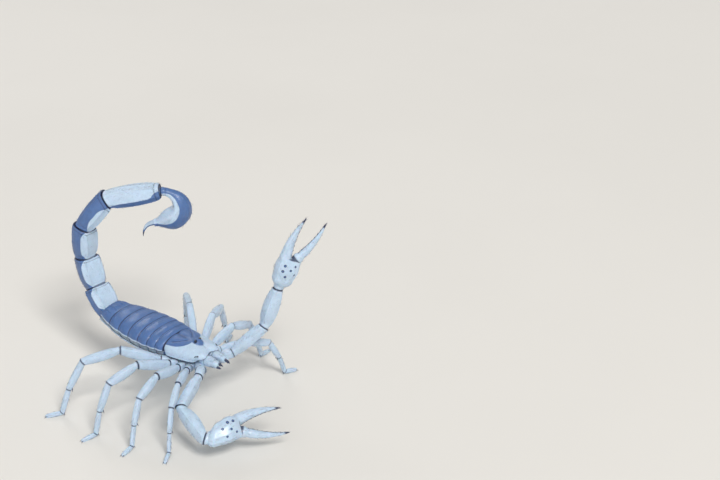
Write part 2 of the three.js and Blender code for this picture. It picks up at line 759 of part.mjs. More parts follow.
// The origin is on the floor, below the middle of the animal's outline seen from above.
const bounds = new THREE.Box3().setFromObject(scorpion);
const middle = bounds.getCenter(vector(0, 0, 0));
scorpion.position.set(-middle.x, -middle.y, -bounds.min.z);

export default scorpion;
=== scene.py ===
"""The looks of a life-size desert scorpion: shell plates, joint skin, bristles, colours and studio.

Sizes are in millimetres in the body's own frame (x = 0 in the middle, y = 0 where the carapace
meets the back, z = 0 on the floor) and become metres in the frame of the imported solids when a
mesh is made. Each Operator makes one piece or a group of like pieces.
"""

import math

import bpy
import numpy as np
from bpy.props import FloatProperty, FloatVectorProperty, PointerProperty
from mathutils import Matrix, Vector


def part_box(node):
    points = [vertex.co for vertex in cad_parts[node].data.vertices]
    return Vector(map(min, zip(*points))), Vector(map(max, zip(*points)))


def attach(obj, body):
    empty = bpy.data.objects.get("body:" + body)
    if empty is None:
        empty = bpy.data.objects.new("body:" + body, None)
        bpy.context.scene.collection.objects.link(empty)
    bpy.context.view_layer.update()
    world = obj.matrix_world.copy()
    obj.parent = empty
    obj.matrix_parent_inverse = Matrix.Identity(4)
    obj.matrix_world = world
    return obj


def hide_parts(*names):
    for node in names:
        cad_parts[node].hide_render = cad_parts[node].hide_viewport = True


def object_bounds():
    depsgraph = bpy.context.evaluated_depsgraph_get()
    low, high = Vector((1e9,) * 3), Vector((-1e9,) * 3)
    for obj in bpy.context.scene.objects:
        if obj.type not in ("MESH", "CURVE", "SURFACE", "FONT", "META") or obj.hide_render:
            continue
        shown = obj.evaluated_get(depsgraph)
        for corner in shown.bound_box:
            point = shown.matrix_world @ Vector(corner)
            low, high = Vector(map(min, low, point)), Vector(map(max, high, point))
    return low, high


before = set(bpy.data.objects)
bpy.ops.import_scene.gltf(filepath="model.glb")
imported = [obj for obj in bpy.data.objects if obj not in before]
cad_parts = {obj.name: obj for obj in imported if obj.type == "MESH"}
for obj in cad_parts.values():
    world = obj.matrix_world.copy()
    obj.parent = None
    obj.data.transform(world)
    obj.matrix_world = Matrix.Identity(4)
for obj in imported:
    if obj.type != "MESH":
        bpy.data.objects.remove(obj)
cad_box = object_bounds()

bl_info = {
    "name": "Desert scorpion",
    "version": (1, 0, 0),
    "blender": (4, 5, 0),
    "location": "3D View > Sidebar > Scorpion",
    "description": "Builds the shell, joint skin, bristles and studio of a desert scorpion",
    "category": "Add Mesh",
}

# ---- sizes shared with the solids

MM = 0.001
GAP = 0.3  # clear space between solids at a joint
SEAM = 0.16  # clear space between shells at a joint
TRUNK_LEVEL = 18.6
TRUNK_RISE = 1.6

CARAPACE_LENGTH = 14.4
CARAPACE_WIDTHS = (9.4, 13.8)
CARAPACE_CROWN = 3.9
CARAPACE_SKIRT = 0.7
CARAPACE_NOTCH = 1.1
FURROW = {"half_width": 0.9, "depth": 0.35}
EYE = {"radius": 0.45, "apart": 0.85, "behind_front": 6.0}
EYE_MOUND = {"half_width": 1.5, "half_length": 2.2, "height": 0.7}
CHELICERA = {"radius": 1.5, "apart": 1.75, "length": 6.4, "drop": 0.3, "behind_front": 3.7}
CHELICERA_FINGER = {"length": 2.9, "root": 0.66, "tip": 0.1, "inset": 0.7}
CHELICERA_FINGERS = (("upper", -0.35, 0.35, 0.7), ("lower", 0.45, -0.3, 0.5))  # aside, lift, droop

SEGMENT_LENGTHS = (2.5, 3.1, 3.7, 4.2, 4.5, 4.7, 6.1)
TRUNK_WIDTHS = (13.6, 14.8, 15.6, 16.0, 15.6, 14.6, 12.8, 8.6)
TRUNK_CROWN = 0.265
TRUNK_BELLY = 0.265
JOINT_YS = np.concatenate([[0.0], np.cumsum(SEGMENT_LENGTHS)])
TRUNK_LENGTH = float(JOINT_YS[-1])
UNDERSIDE = {"top": 1.0, "depth": 3.7, "half_widths": (3.2, 5.2), "behind_front": 2.6}
LEG_COXA = {"half_widths": (1.0, 1.2), "top": 1.15, "bottoms": (1.2, 1.35), "aside": 1.2, "drop": 0.3}
ARM_COXA = {
    "half_widths": (1.3, 1.7),
    "top": 1.2,
    "bottoms": (1.8, 1.8),
    "aside": 2.2,
    "behind": 3.2,
    "drop": 0.4,
}
COXAE_MEET = {"behind_front": 8.35, "gather": 0.45}
COMB = {"length": 8.2, "teeth": 17, "tooth": 1.6, "stem": 1.4, "thickness": 0.7, "sweep": 52}

TAIL = (  # length, width, height, pitch, swing
    (9.0, 8.2, 7.0, 46, -6),
    (10.1, 7.8, 6.9, 66, -8),
    (10.8, 7.5, 6.8, 93, 8),
    (12.9, 7.2, 6.6, 129, 27),
    (17.0, 6.9, 6.0, 169, 35),
)
TELSON = {"pitch": 346, "swing": 36, "length": 12.2, "width": 7.4, "belly": 5.0, "back": 2.4, "neck": 1.45}
TELSON_BEND = {"reach": 4.4, "turn": 3.2, "inward": 9.2}
STING = {"length": 7.6, "radius": 1.15, "tip": 0.07, "hook": 76}

LEGS = (  # hip behind the carapace front, lengths from trochanter to tarsus, girth
    (5.0, (2.4, 9.2, 8.4, 7.4, 6.2, 3.9), 2.3),
    (7.4, (2.6, 10.2, 9.2, 8.2, 6.8, 4.1), 2.5),
    (9.9, (2.8, 11.4, 10.2, 9.2, 7.6, 4.4), 2.6),
    (12.4, (3.2, 13.0, 11.8, 10.4, 8.6, 4.7), 2.7),
)
LEG_POSES = {  # heading, then the pitch of patella, tibia and basitarsus
    "right": ((26, -24, -66, -74), (4, -22, -68, -76), (-18, -18, -66, -76), (-42, -14, -62, -72)),
    "left": ((22, -18, -62, -72), (-2, -22, -66, -72), (-26, -16, -66, -74), (-48, -15, -64, -70)),
}
HIP = {"aside": 5.6, "drop": 2.6, "trochanter_pitch": 10}
TARSUS = {"pitch": -9, "toe_height": 0.42, "girths": (1.5 * 0.85, 1.5, 1.5 * 0.8)}
LEG_GIRTHS = (  # from, middle, to, as shares of the leg's girth
    (0.95, 1.05, 1.0),
    (0.85, 1.2, 0.95),
    (0.8, 1.1, 0.85),
    (0.75, 0.85, 0.66),
    (0.6, 0.66, 0.56),
)
LEG_NODES = (("femur", (0, 1)), ("tibia", (2, 3)), ("foot", (4, 5)))

ARM_PARTS = ("trochanter", "femur", "patella", "palm")
ARM_LENGTHS = {"trochanter": 3.6, "femur": 12.6, "patella": 13.2, "palm": 11.2}
FINGER_LENGTHS = {"fixed": 15.0, "movable": 14.2}
ARM_ROOT = {"aside": 4.7, "behind_front": 0.9, "drop": 2.2}
ARM_POSES = {
    "right": {
        "trochanter": (-0.86, -0.5, -0.1),
        "femur": (-0.93, -0.24, -0.3),
        "patella": (-0.22, -0.9, -0.34),
        "palm": (0.88, -0.4, 0.1),
        "outer": (-0.3, -0.62, -0.72),
        "opening": 27,
    },
    "left": {
        "trochanter": (0.84, -0.52, 0.16),
        "femur": (0.8, -0.36, 0.5),
        "patella": (0.36, -0.16, 0.92),
        "palm": (0.28, -0.26, 0.92),
        "outer": (0.76, -0.6, -0.2),
        "opening": 22,
    },
}
ARM_GIRTHS = {"trochanter": (2.9, 3.4, 3.0), "femur": (2.7, 3.7, 3.4), "patella": (3.0, 4.9, 3.2)}
HAND = {
    "widths": (1.4, 3.3, 3.8, 3.5),
    "thicknesses": (1.25, 2.7, 3.0, 2.2),
    "fixed_root": 1.6,
    "fixed_sink": 1.2,
    "movable_root": 1.9,
    "bow": 1.5,
    "fixed_half_width": 1.9,
    "movable_half_width": 1.6,
    "tip_half_width": 0.14,
}

MESH = {  # points round and rings along each tube
    "mouth_claw": (64, 60),
    "mouth_finger": (32, 30),
    "coxa": (48, 36),
    "jaw_lobe": (32, 28),
    "front_floor": (64, 50),
    "comb_stem": (32, 60),
    "comb_tooth": (16, 14),
    "joint_skin": (28, 16),
    "tail": (100, 104),
    "bulb": (112, 120),
    "sting": (56, 90),
    "leg": (34, 34),
    "arm": (68, 64),
    "finger": (52, 72),
}
SEEDS = {  # of the scattered grains and bristles; like pieces count on from theirs
    "carapace": 5,
    "back": 11,
    "trunk_coat": 31,
    "carapace_coat": 32,
    "mouth_coat": 33,
    "hip_coat": 34,
    "tail_coat": 35,
    "leg_coat": 36,
    "arm_coat": 38,
    "tail_keels": 50,
    "tail": 60,
    "bulb": 66,
    "bulb_relief": 71,
    "arm_keels": 80,
    "arm": 82,
}

UP = np.array([0.0, 0.0, 1.0])
SIDES = {"right": -1, "left": 1}
carapace_low, carapace_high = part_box("carapace")
ORIGIN = np.array([(carapace_low.x + carapace_high.x) / 2 / MM, carapace_high.y / MM + GAP / 2, 0.0])

# ---- what a user would change


def number_setting(name, description, default, **details):
    return FloatProperty(name=name, description=description, default=default, **details)


def length_setting(name, description, size):
    return number_setting(name, description, size * MM, unit="LENGTH", precision=5)


def angle_setting(name, description, degrees):
    return number_setting(name, description, math.radians(degrees), subtype="ANGLE")


def colour_setting(name, description, colour):
    details = {"subtype": "COLOR", "min": 0, "max": 1}
    return FloatVectorProperty(name=name, description=description, default=colour, **details)


class ScorpionSizes(bpy.types.PropertyGroup):
    keel: length_setting("Keel height", "How far the keels of the tail stand out of the shell", 0.26)
    grain: length_setting("Grain height", "How far the grains of the back plates stand out", 0.1)
    plate: length_setting("Plate thickness", "Thickness of the plates of back and belly", 0.28)
    bristle: length_setting("Bristle thickness", "Thickness of a bristle at its root", 0.06)
    coat: number_setting(
        "Bristle amount", "Share of the full number of bristles", 1.0, min=0.0, max=2.0, subtype="FACTOR"
    )


def millimetres(name):
    """A size of the panel."""
    return getattr(bpy.context.scene.scorpion_sizes, name) / MM


class ScorpionColours(bpy.types.PropertyGroup):
    pale: colour_setting("Pale shell", "Limbs, claws, flanks and underside", (0.56, 0.705, 0.865))
    slate: colour_setting("Slate shell", "Back and outer side of the tail", (0.075, 0.152, 0.35))
    ink: colour_setting("Ink", "Seams, dots, finger tips and sting", (0.012, 0.022, 0.075))
    membrane: colour_setting("Joint skin", "Soft skin between the plates", (0.36, 0.46, 0.58))
    bristle: colour_setting("Bristles", "Bristles of body and limbs", (0.07, 0.08, 0.12))
    floor: colour_setting("Floor", "Studio floor", (0.80, 0.78, 0.74))


class StudioSettings(bpy.types.PropertyGroup):
    azimuth: angle_setting("View azimuth", "Direction of the view onto the animal, from straight ahead", -46)
    elevation: angle_setting("View elevation", "Height of the view onto the middle of the animal", 30)
    scale: number_setting("Picture scale", "Pixels for each millimetre at the middle of the animal", 3.28)
    lens: number_setting("Lens", "Focal length of the camera", 85.0, unit="CAMERA")
    key_light: number_setting("Key light", "Power of the main soft light", 83.0, unit="POWER")
    fill_light: number_setting("Fill light", "Power of each of the two filling lights", 20.8, unit="POWER")


# ---- numbers and curves


def unit(vector):
    vector = np.asarray(vector, float)
    return vector / np.linalg.norm(vector, axis=-1, keepdims=True)


def lerp(a, b, t):
    return a + (b - a) * t


def smooth(value, low, high):
    share = np.clip((value - low) / (high - low), 0.0, 1.0)
    return share * share * (3 - 2 * share)


def hump(value, middle, width):
    return np.exp(-(((value - middle) / width) ** 2))


def swell(ends_and_middle, t):
    start, middle, end = ends_and_middle
    rise = np.sin(np.pi * t)
    return np.where(t < 0.5, lerp(start, middle, rise), lerp(end, middle, rise))


def signed_power(value, power):
    return np.sign(value) * np.abs(value) ** power


def turned_away(angle, degrees):
    """How far an angle round a limb is from a place given in degrees."""
    return np.angle(np.exp(1j * (angle - math.radians(degrees))))


class Path:
    """A line or a Bezier curve through control points, read by its share of length."""

    def __init__(self, *controls):
        self.controls = np.array(controls, float)
        self.parameter = np.linspace(0, 1, 201)
        points = self.bezier(self.controls, self.parameter)
        steps = np.linalg.norm(np.diff(points, axis=0), axis=1)
        self.share = np.concatenate([[0], np.cumsum(steps)]) / steps.sum()
        self.length = steps.sum()
        self.straight = len(controls) == 2

    @staticmethod
    def bezier(controls, parameter):
        levels = [np.broadcast_to(point, (len(parameter), 3)) for point in controls]
        share = parameter[:, None]
        while len(levels) > 1:
            levels = [lerp(a, b, share) for a, b in zip(levels, levels[1:])]
        return levels[0]

    def at(self, t):
        return self.bezier(self.controls, np.interp(t, self.share, self.parameter))

    def tangent(self, t):
        steps = np.diff(self.controls, axis=0)
        return unit(self.bezier(steps, np.interp(t, self.share, self.parameter)))


def chained(start, directions, lengths):
    """The joints of a limb."""
    points = [start]
    for direction, length in zip(directions, lengths):
        points.append(points[-1] + direction * length)
    return points


def halving(before, after):
    """Normal of the plane that halves the bend between two directions."""
    return unit(np.asarray(before) + np.asarray(after))


def hashed(i, j, seed):
    """A repeatable number from 0 to 1 for each pair of whole numbers."""
    mixed = (i.astype(np.int64) * 73856093) ^ (j.astype(np.int64) * 19349663) ^ (seed * 83492791)
    mixed = ((mixed & 0xFFFFFFFF) ^ ((mixed & 0xFFFFFFFF) >> 13)) * 1274126177
    mixed = (mixed & 0xFFFFFFFF) ^ ((mixed & 0xFFFFFFFF) >> 16)
    return mixed / 0xFFFFFFFF


def to_nearest_grain(u, v, around, seed):
    """Distance to the nearest of one scattered point in each unit cell; v repeats after around cells."""
    u, v = np.broadcast_arrays(u, v)
    cell_u, cell_v = np.floor(u), np.floor(v)
    nearest = np.full(u.shape, 9.0)
    for step_u in (-1, 0, 1):
        for step_v in (-1, 0, 1):
            key_u = cell_u + step_u
            key_v = np.mod(cell_v + step_v, around)
            point_u = cell_u + step_u + hashed(key_u, key_v, seed)
            point_v = cell_v + step_v + hashed(key_u, key_v, seed + 1)
            nearest = np.minimum(nearest, np.hypot(u - point_u, v - point_v))
    return nearest


def grains(t, angle, length, girth, size, seed):
    """Round grains of one size scattered over a limb, from 0 to 1."""
    around = max(6, round(girth / size))
    away = to_nearest_grain(t * length / size, (angle / math.tau) * around, around, seed)
    return 1 - smooth(away, 0.1, 0.5)


def near(angle, degrees, width):
    """1 at a place round a limb, falling to 0 away from it."""
    return hump(turned_away(angle, degrees), 0, width)


def keels(angle, places, width=0.1):
    """Ridges along a limb at the given angles, from 0 to 1."""
    return np.max([near(angle, place, width) for place in places], axis=0)


# ---- surfaces


class Surface:
    """Rings of points around a path, with the place of each along and around it."""

    def __init__(self, points, t, angle, wrap=True):
        self.points = points
        self.t = np.broadcast_to(t, points.shape[:2])
        self.angle = np.broadcast_to(angle, points.shape[:2])
        self.wrap = wrap
        self.tile = None  # corner and size of its square of the bake map
        self.lead = 0  # rings added before its first one

    @property
    def along(self):
        return unit(np.gradient(self.points, axis=0))

    @property
    def normals(self):
        steps = np.gradient(self.points, axis=0)
        if self.wrap:
            turns = np.roll(self.points, -1, axis=1) - np.roll(self.points, 1, axis=1)
        else:
            turns = np.gradient(self.points, axis=1)
        return unit(np.cross(steps, turns) + 1e-12)

    def raised(self, height):
        self.points = self.points + self.normals * np.broadcast_to(height, self.points.shape[:2])[..., None]
        return self

    def read(self, values, rows, columns):
        """Values of the grid at places between its points."""
        above = np.clip(np.floor(rows).astype(int), 0, values.shape[0] - 2)
        columns = columns % values.shape[1] if self.wrap else columns
        before = np.clip(np.floor(columns).astype(int), 0, values.shape[1] - 1)
        after = (before + 1) % values.shape[1] if self.wrap else np.minimum(before + 1, values.shape[1] - 1)
        down, over = rows - above, columns - before
        if values.ndim == 3:
            down, over = down[:, None], over[:, None]
        upper = lerp(values[above, before], values[above, after], over)
        return lerp(upper, lerp(values[above + 1, before], values[above + 1, after], over), down)

    def spot(self, rows, columns):
        """Points and normals at places between those of the grid."""
        return self.read(self.points, rows, columns), self.read(self.normals, rows, columns)

    def scattered(self, spacing, seed, where=None):
        """Rows and columns of places about one spacing apart; where(t, angle) thins them out."""
        count_rows, count_columns = self.points.shape[:2]
        length = np.linalg.norm(np.diff(self.points[:, count_columns // 2], axis=0), axis=1).sum()
        girth = np.linalg.norm(np.diff(self.points[count_rows // 2], axis=0), axis=1).sum()
        count = (max(2, int(length / spacing)), max(2, int(girth / spacing)))
        random = np.random.default_rng(seed)
        share = np.indices(count) + 0.12 + 0.76 * random.random((2, *count))
        rows = share[0].ravel() / count[0] * (count_rows - 1)
        columns = share[1].ravel() / count[1] * (count_columns - (0 if self.wrap else 1))
        if where is not None:
            chance = where(self.read(self.t, rows, columns), self.read(self.angle, rows, columns))
            kept = random.random(rows.size) < chance
            rows, columns = rows[kept], columns[kept]
        return rows, columns, random.random(rows.size)

    def open_lines(self, angles, first, last=None, count=1):
        """Rows and columns of places at the given angles of a surface that doesn't close round."""
        stations = np.linspace(first, first if last is None else last, count)
        row_share = np.interp(stations, self.t[:, 0], np.arange(len(self.t)))
        column_share = np.interp(np.radians(angles), self.angle[0], np.arange(self.angle.shape[1]))
        return np.tile(row_share, len(angles)), np.repeat(column_share, count)

    def lines(self, angles, first, last, spacing):
        """Rows and columns of places one spacing apart along lines at the given angles."""
        count_rows, count_columns = self.points.shape[:2]
        length = np.linalg.norm(np.diff(self.points[:, 0], axis=0), axis=1).sum()
        stations = np.linspace(first, last, max(2, int(length * (last - first) / spacing)))
        rows = np.tile(stations * (count_rows - 1), len(angles))
        columns = np.repeat(np.array(angles) % 360 / 360 * count_columns, len(stations))
        return rows, columns


def around(sides, first=0.0, last=None):
    if last is None:
        return np.linspace(0, math.tau, sides, endpoint=False)[None]
    return np.linspace(math.radians(first), math.radians(last), sides)[None]


def tube(path, up, section, sides, stations, start=None, end=None, width_axis=None):
    """A closed limb along a path. Each end lies on its cutting plane, set back by half the seam.

    Its width lies square to up, or along the width axis of a limb that bends right round.
    """
    t = np.linspace(0, 1, stations)[:, None]
    angle = around(sides)
    half_width, top, bottom, square = section(t, angle)
    tangent = path.tangent(t[:, 0])
    if width_axis is None:
        side = unit(np.cross(tangent, up))
    else:
        side = unit(width_axis - tangent * (tangent @ width_axis)[:, None])
    rise = np.cross(side, tangent)
    power = 2 / square
    across = half_width * signed_power(np.cos(angle), power)
    height = np.where(np.sin(angle) > 0, top, bottom) * signed_power(np.sin(angle), power)
    offset = across[..., None] * side[:, None] + height[..., None] * rise[:, None]
    first = path.tangent(np.zeros(1))[0]
    last = path.tangent(np.ones(1))[0]
    start = first if start is None else start
    end = last if end is None else end
    reach = 1 if path.straight else 6
    shift = (SEAM / 2 - offset @ start) / (first @ start) * (1 - t) ** reach
    shift = shift + (-SEAM / 2 - offset @ end) / (last @ end) * t**reach
    points = path.at(t[:, 0])[:, None] + offset + tangent[:, None] * shift[..., None]
    return Surface(points, t, angle)


# share of the girth and push outward of the rings at an end; a tip's push is in shares of its radius
LIP = ((0.975, 0.05), (0.93, 0.05), (0.87, -0.12), (0.5, -0.2), (0.05, -0.22))
TIP = ((0.93, 0.36), (0.8, 0.66), (0.6, 0.86), (0.34, 0.97), (0.05, 1.0))
DOME = ((0.0, 1.0), (0.55, 0.84), (0.97, 0.3))  # height and width of a grain
SPIKE = ((0.0, 1.0), (0.33, 0.79), (0.67, 0.48), (1.0, 0.12))
TOOTH = ((0.0, 1.0), (0.4, 0.9), (0.75, 0.62), (1.0, 0.3))
SPIKE_PATCH = 0.003  # side of a spike's square of the bake map


def closed(points, start=LIP, end=LIP):
    """The rings with five more at each end: a rounded lip round a hollow, or a rounded tip."""
    rings = [points]
    for edge, inner, profile, place in ((points[0], points[1], start, 0), (points[-1], points[-2], end, 1)):
        centre = edge.mean(axis=0)
        outward = unit(centre - inner.mean(axis=0))
        reach = np.linalg.norm(edge - centre, axis=1).mean() if profile is TIP else 1.0
        added = [centre + (edge - centre) * share + outward * push * reach for share, push in profile]
        rings = [np.array(added[::-1])] + rings if place == 0 else rings + [np.array(added)]
    return np.concatenate(rings)


def end_masks(mask):
    """A mask for the rings that closed adds."""
    return np.concatenate([np.repeat(mask[:1], 5, axis=0), mask, np.repeat(mask[-1:], 5, axis=0)])


# ---- meshes


def placed(name, data):
    """A new object with the given data, in the scene."""
    thing = bpy.data.objects.new(name, data)
    bpy.context.scene.collection.objects.link(thing)
    return thing


class Shape:
    """Rings and patches that become one object, with its colour masks and its bake map."""

    def __init__(self, tiles=1):
        self.across = math.ceil(math.sqrt(tiles))
        self.tiles = 0
        self.count = 0
        self.points, self.slate, self.ink = [], [], []
        self.loops, self.sizes, self.maps = [], [], []

    def tile(self):
        """Corner and size of the next square of the bake map."""
        row, column = divmod(self.tiles, self.across)
        self.tiles += 1
        size = 1 / self.across
        return np.array([column * size + size * 0.02, row * size + size * 0.02]), size * 0.96

    def row_places(self, count, first=0.1):
        """Places of a row of spikes in a square of the bake map of their own."""
        corner, size = self.tile()
        return corner + np.stack([np.linspace(first, 1 - first, count), np.full(count, 0.5)], -1) * size

    def add(self, points, slate, ink):
        first = self.count
        self.count += points[..., 0].size
        self.points.append(points.reshape(-1, 3))
        for masks, mask in ((self.slate, slate), (self.ink, ink)):
            masks.append(np.broadcast_to(mask, points.shape[:-1]).reshape(-1))
        return first

    def polygons(self, corners, places):
        self.loops.append(corners.reshape(-1))
        self.maps.append(places.reshape(-1, 2))
        self.sizes.append(np.full(len(corners), corners.shape[-1]))

    def rings(self, points, slate=0.0, ink=0.0, caps=True):
        """A grid of points as quads, closed round, with a cap at each end if caps."""
        rows, columns = points.shape[:2]
        first = self.add(points, slate, ink)
        corner, size = self.tile()
        row, column = np.indices((rows - 1, columns))
        rows_of = np.stack([row, row + 1, row + 1, row], -1)
        columns_of = np.stack([column, column, column + 1, column + 1], -1)
        quads = first + rows_of * columns + columns_of % columns
        places = np.stack([columns_of / columns, rows_of / (rows - 1)], -1)
        self.polygons(quads.reshape(-1, 4), corner + places.reshape(-1, 4, 2) * size)
        if caps:
            ring = np.arange(columns)
            for corners, v in ((ring, 0.0), (ring[::-1] + (rows - 1) * columns, 1.0)):
                places = np.stack([(corners % columns) / columns, np.full(columns, v)], -1)
                self.polygons(first + corners[None], corner + places[None] * size)
        return corner, size

    def limb(self, surface, slate=0.0, ink=0.0, start=LIP, end=LIP):
        """A limb closed at both ends."""
        shape = surface.points.shape[:2]
        points = closed(surface.points, start, end)
        slate, ink = (end_masks(np.broadcast_to(mask, shape)) for mask in (slate, ink))
        surface.tile = self.rings(points, slate, ink)
        surface.lead = (len(points) - shape[0]) // 2

    def plate(self, surface, thickness, slate=0.0, ink=0.0):
        """A thin curved plate: the surface, its inner side and the edges between them."""
        outer = surface.points
        inner = outer - surface.normals * thickness
        both = np.concatenate([outer, inner[:, ::-1]], axis=1)
        rows, columns = outer.shape[:2]
        slate, ink = (np.broadcast_to(mask, (rows, columns)) for mask in (slate, ink))
        slate, ink = (np.concatenate([mask, mask[:, ::-1]], axis=1) for mask in (slate, ink))
        first = self.count
        corner, size = surface.tile = self.rings(both, slate, ink, caps=False)
        outside = np.arange(columns - 1)
        inside = 2 * columns - 1 - outside
        front = np.stack([outside, outside + 1, inside - 1, inside], -1)
        back = (front + (rows - 1) * 2 * columns)[:, ::-1]
        for quads, v in ((front, 0.0), (back, 1.0)):
            share = (quads % (2 * columns)) / (2 * columns)
            self.polygons(first + quads, corner + np.stack([share, np.full(share.shape, v)], -1) * size)

    def spikes(
        self, roots, heads, lengths, radii, bends, places, profile=SPIKE, sides=3, slate=0.0, ink=1.0
    ):
        """Many small spikes, grains or teeth, each a patch of the bake map at its root's place."""
        count = len(roots)
        cuts = len(profile) - 1
        share, wide = np.array(profile).T
        heads = unit(heads)
        helper = np.where(np.abs(heads[:, 2:3]) > 0.9, np.array([[1.0, 0, 0]]), np.array([[0, 0, 1.0]]))
        side = unit(np.cross(heads, helper))
        rise = np.cross(side, heads)
        lengths = np.broadcast_to(lengths, count)[:, None]
        width = np.broadcast_to(radii, count)[:, None] * wide
        middle = roots[:, None] + heads[:, None] * (lengths * share)[..., None]
        middle = middle + bends[:, None] * (lengths * share**2)[..., None]
        turn = np.arange(sides) * math.tau / sides
        ring = np.cos(turn)[:, None] * side[:, None] + np.sin(turn)[:, None] * rise[:, None]
        points = middle[:, :, None] + ring[:, None] * width[:, :, None, None]
        if np.ndim(ink) == 2:
            ink = ink[..., None]
        else:
            ink = np.broadcast_to(ink, count)[:, None, None]
        slate = np.broadcast_to(slate, count)[:, None, None]
        base = self.add(points, slate, ink)
        firsts = base + np.arange(count) * (cuts + 1) * sides
        down = np.arange(cuts)[:, None, None] + np.array([0, 1, 1, 0])
        over = np.arange(sides)[None, :, None] + np.array([0, 0, 1, 1])
        quads = firsts[:, None, None, None] + down * sides + over % sides
        spot = np.stack(np.broadcast_arrays(over / sides, down / cuts), -1)
        maps = places[:, None, None, None] + (spot[None] - 0.5) * SPIKE_PATCH
        self.polygons(quads.reshape(-1, 4), maps.reshape(-1, 4, 2))
        for ring_row, order in ((0, 1), (cuts, -1)):
            corners = (ring_row * sides + np.arange(sides))[::order]
            self.polygons(firsts[:, None] + corners, np.repeat(places[:, None], sides, axis=1))

    def grains(self, surface, rows, columns, radii, slate=0.0, ink=0.0):
        """Raised round grains at places of a surface, in the surface's own colours."""
        corner, size = surface.tile
        radii = np.broadcast_to(radii, len(rows))
        roots, normals = surface.spot(rows, columns)
        roots = roots - normals * (radii * 0.3)[:, None]
        shape = surface.points.shape[:2]
        slate = surface.read(np.broadcast_to(slate, shape), rows, columns)
        ink = surface.read(np.broadcast_to(ink, shape), rows, columns)
        across = shape[1] * (1 if surface.wrap else 2)
        places = np.stack([columns / across, (rows + surface.lead) / (shape[0] - 1 + 2 * surface.lead)], -1)
        places = corner + (0.01 + 0.98 * places) * size
        self.spikes(roots, normals, radii * 1.05, radii, normals * 0, places, DOME, 6, slate, ink)

    def build(self, name, slot, *nodes):
        points = (np.concatenate(self.points) + ORIGIN) * MM
        loops, sizes = np.concatenate(self.loops), np.concatenate(self.sizes)
        mesh = bpy.data.meshes.new(name)
        mesh.vertices.add(len(points))
        mesh.vertices.foreach_set("co", points.astype(np.float32).ravel())
        mesh.loops.add(len(loops))
        mesh.loops.foreach_set("vertex_index", loops.astype(np.int32))
        mesh.polygons.add(len(sizes))
        starts = np.concatenate([[0], np.cumsum(sizes)[:-1]])
        mesh.polygons.foreach_set("loop_start", starts.astype(np.int32))
        mesh.update(calc_edges=True)
        mesh.polygons.foreach_set("use_smooth", np.ones(len(sizes), bool))
        for mask, values in (("slate", self.slate), ("ink", self.ink)):
            attribute = mesh.attributes.new(mask, "FLOAT", "POINT")
            attribute.data.foreach_set("value", np.concatenate(values).astype(np.float32))
        layer = mesh.uv_layers.new(name="OFBake")
        layer.uv.foreach_set("vector", np.concatenate(self.maps).astype(np.float32).ravel())
        mesh.materials.append(MATERIALS[slot]())
        if mesh.validate():
            raise RuntimeError(f"the mesh of {name} had faulty faces")
        piece = placed(name, mesh)
        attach(piece, "root")
        if nodes:
            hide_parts(*nodes)


class Coat:
    """Bristles that grow out of several surfaces and become one object."""

    def __init__(self, seed, surfaces):
        self.random = np.random.default_rng(seed)
        self.across = math.ceil(math.sqrt(surfaces))
        self.grown = 0
        self.shape = Shape()

    def grow(self, surface, count, lengths, lean=0.55, where=None):
        """Scatters bristles over a surface; where(t, angle) weighs the places."""
        count = round(count * bpy.context.scene.scorpion_sizes.coat)
        t = surface.t[1:-1]
        angle = surface.angle[1:-1]
        weight = np.ones(t.shape) if where is None else where(t, angle)
        row, column = divmod(self.grown, self.across)
        self.grown += 1
        if count < 1:
            return
        step = np.linalg.norm(np.diff(surface.points, axis=0), axis=2)[1:]
        weight = (weight * step).ravel() + 1e-12
        chosen = self.random.choice(weight.size, count, p=weight / weight.sum())
        jitter = self.random.normal(0, 1, (count, 3))
        roots = surface.points[1:-1].reshape(-1, 3)[chosen]
        outward = surface.normals[1:-1].reshape(-1, 3)[chosen]
        onward = surface.along[1:-1].reshape(-1, 3)[chosen]
        heads = outward + onward * lean + jitter * 0.14
        size = lengths[0] + (lengths[1] - lengths[0]) * self.random.random(count) ** 1.6
        unwrapped = np.stack([angle.ravel()[chosen] / math.tau % 1, t.ravel()[chosen]], -1)
        places = (np.array([column, row]) + 0.02 + unwrapped * 0.96) / self.across
        radii = millimetres("bristle") / 2 * (0.6 + 0.6 * size / lengths[1])
        self.shape.spikes(roots - outward * 0.05, heads, size, radii, onward * 0.25, places)

    def build(self, name):
        self.shape.build(name, "bristle")


# ---- shared effects of the materials


def node_group(name, inputs, outputs, wire):
    """A shader node group, made once. A socket's default is a tuple for a colour, a number for a value."""
    if name in bpy.data.node_groups:
        return bpy.data.node_groups[name]
    group = bpy.data.node_groups.new(name, "ShaderNodeTree")
    for direction, sockets in (("INPUT", inputs), ("OUTPUT", outputs)):
        for title, default in sockets.items():
            kind = "NodeSocketColor" if isinstance(default, tuple) else "NodeSocketFloat"
            socket = group.interface.new_socket(name=title, in_out=direction, socket_type=kind)
            socket.default_value = default
    tree = Tree(group)
    wire(tree, tree.node("NodeGroupInput").outputs, tree.node("NodeGroupOutput").inputs)
    return group


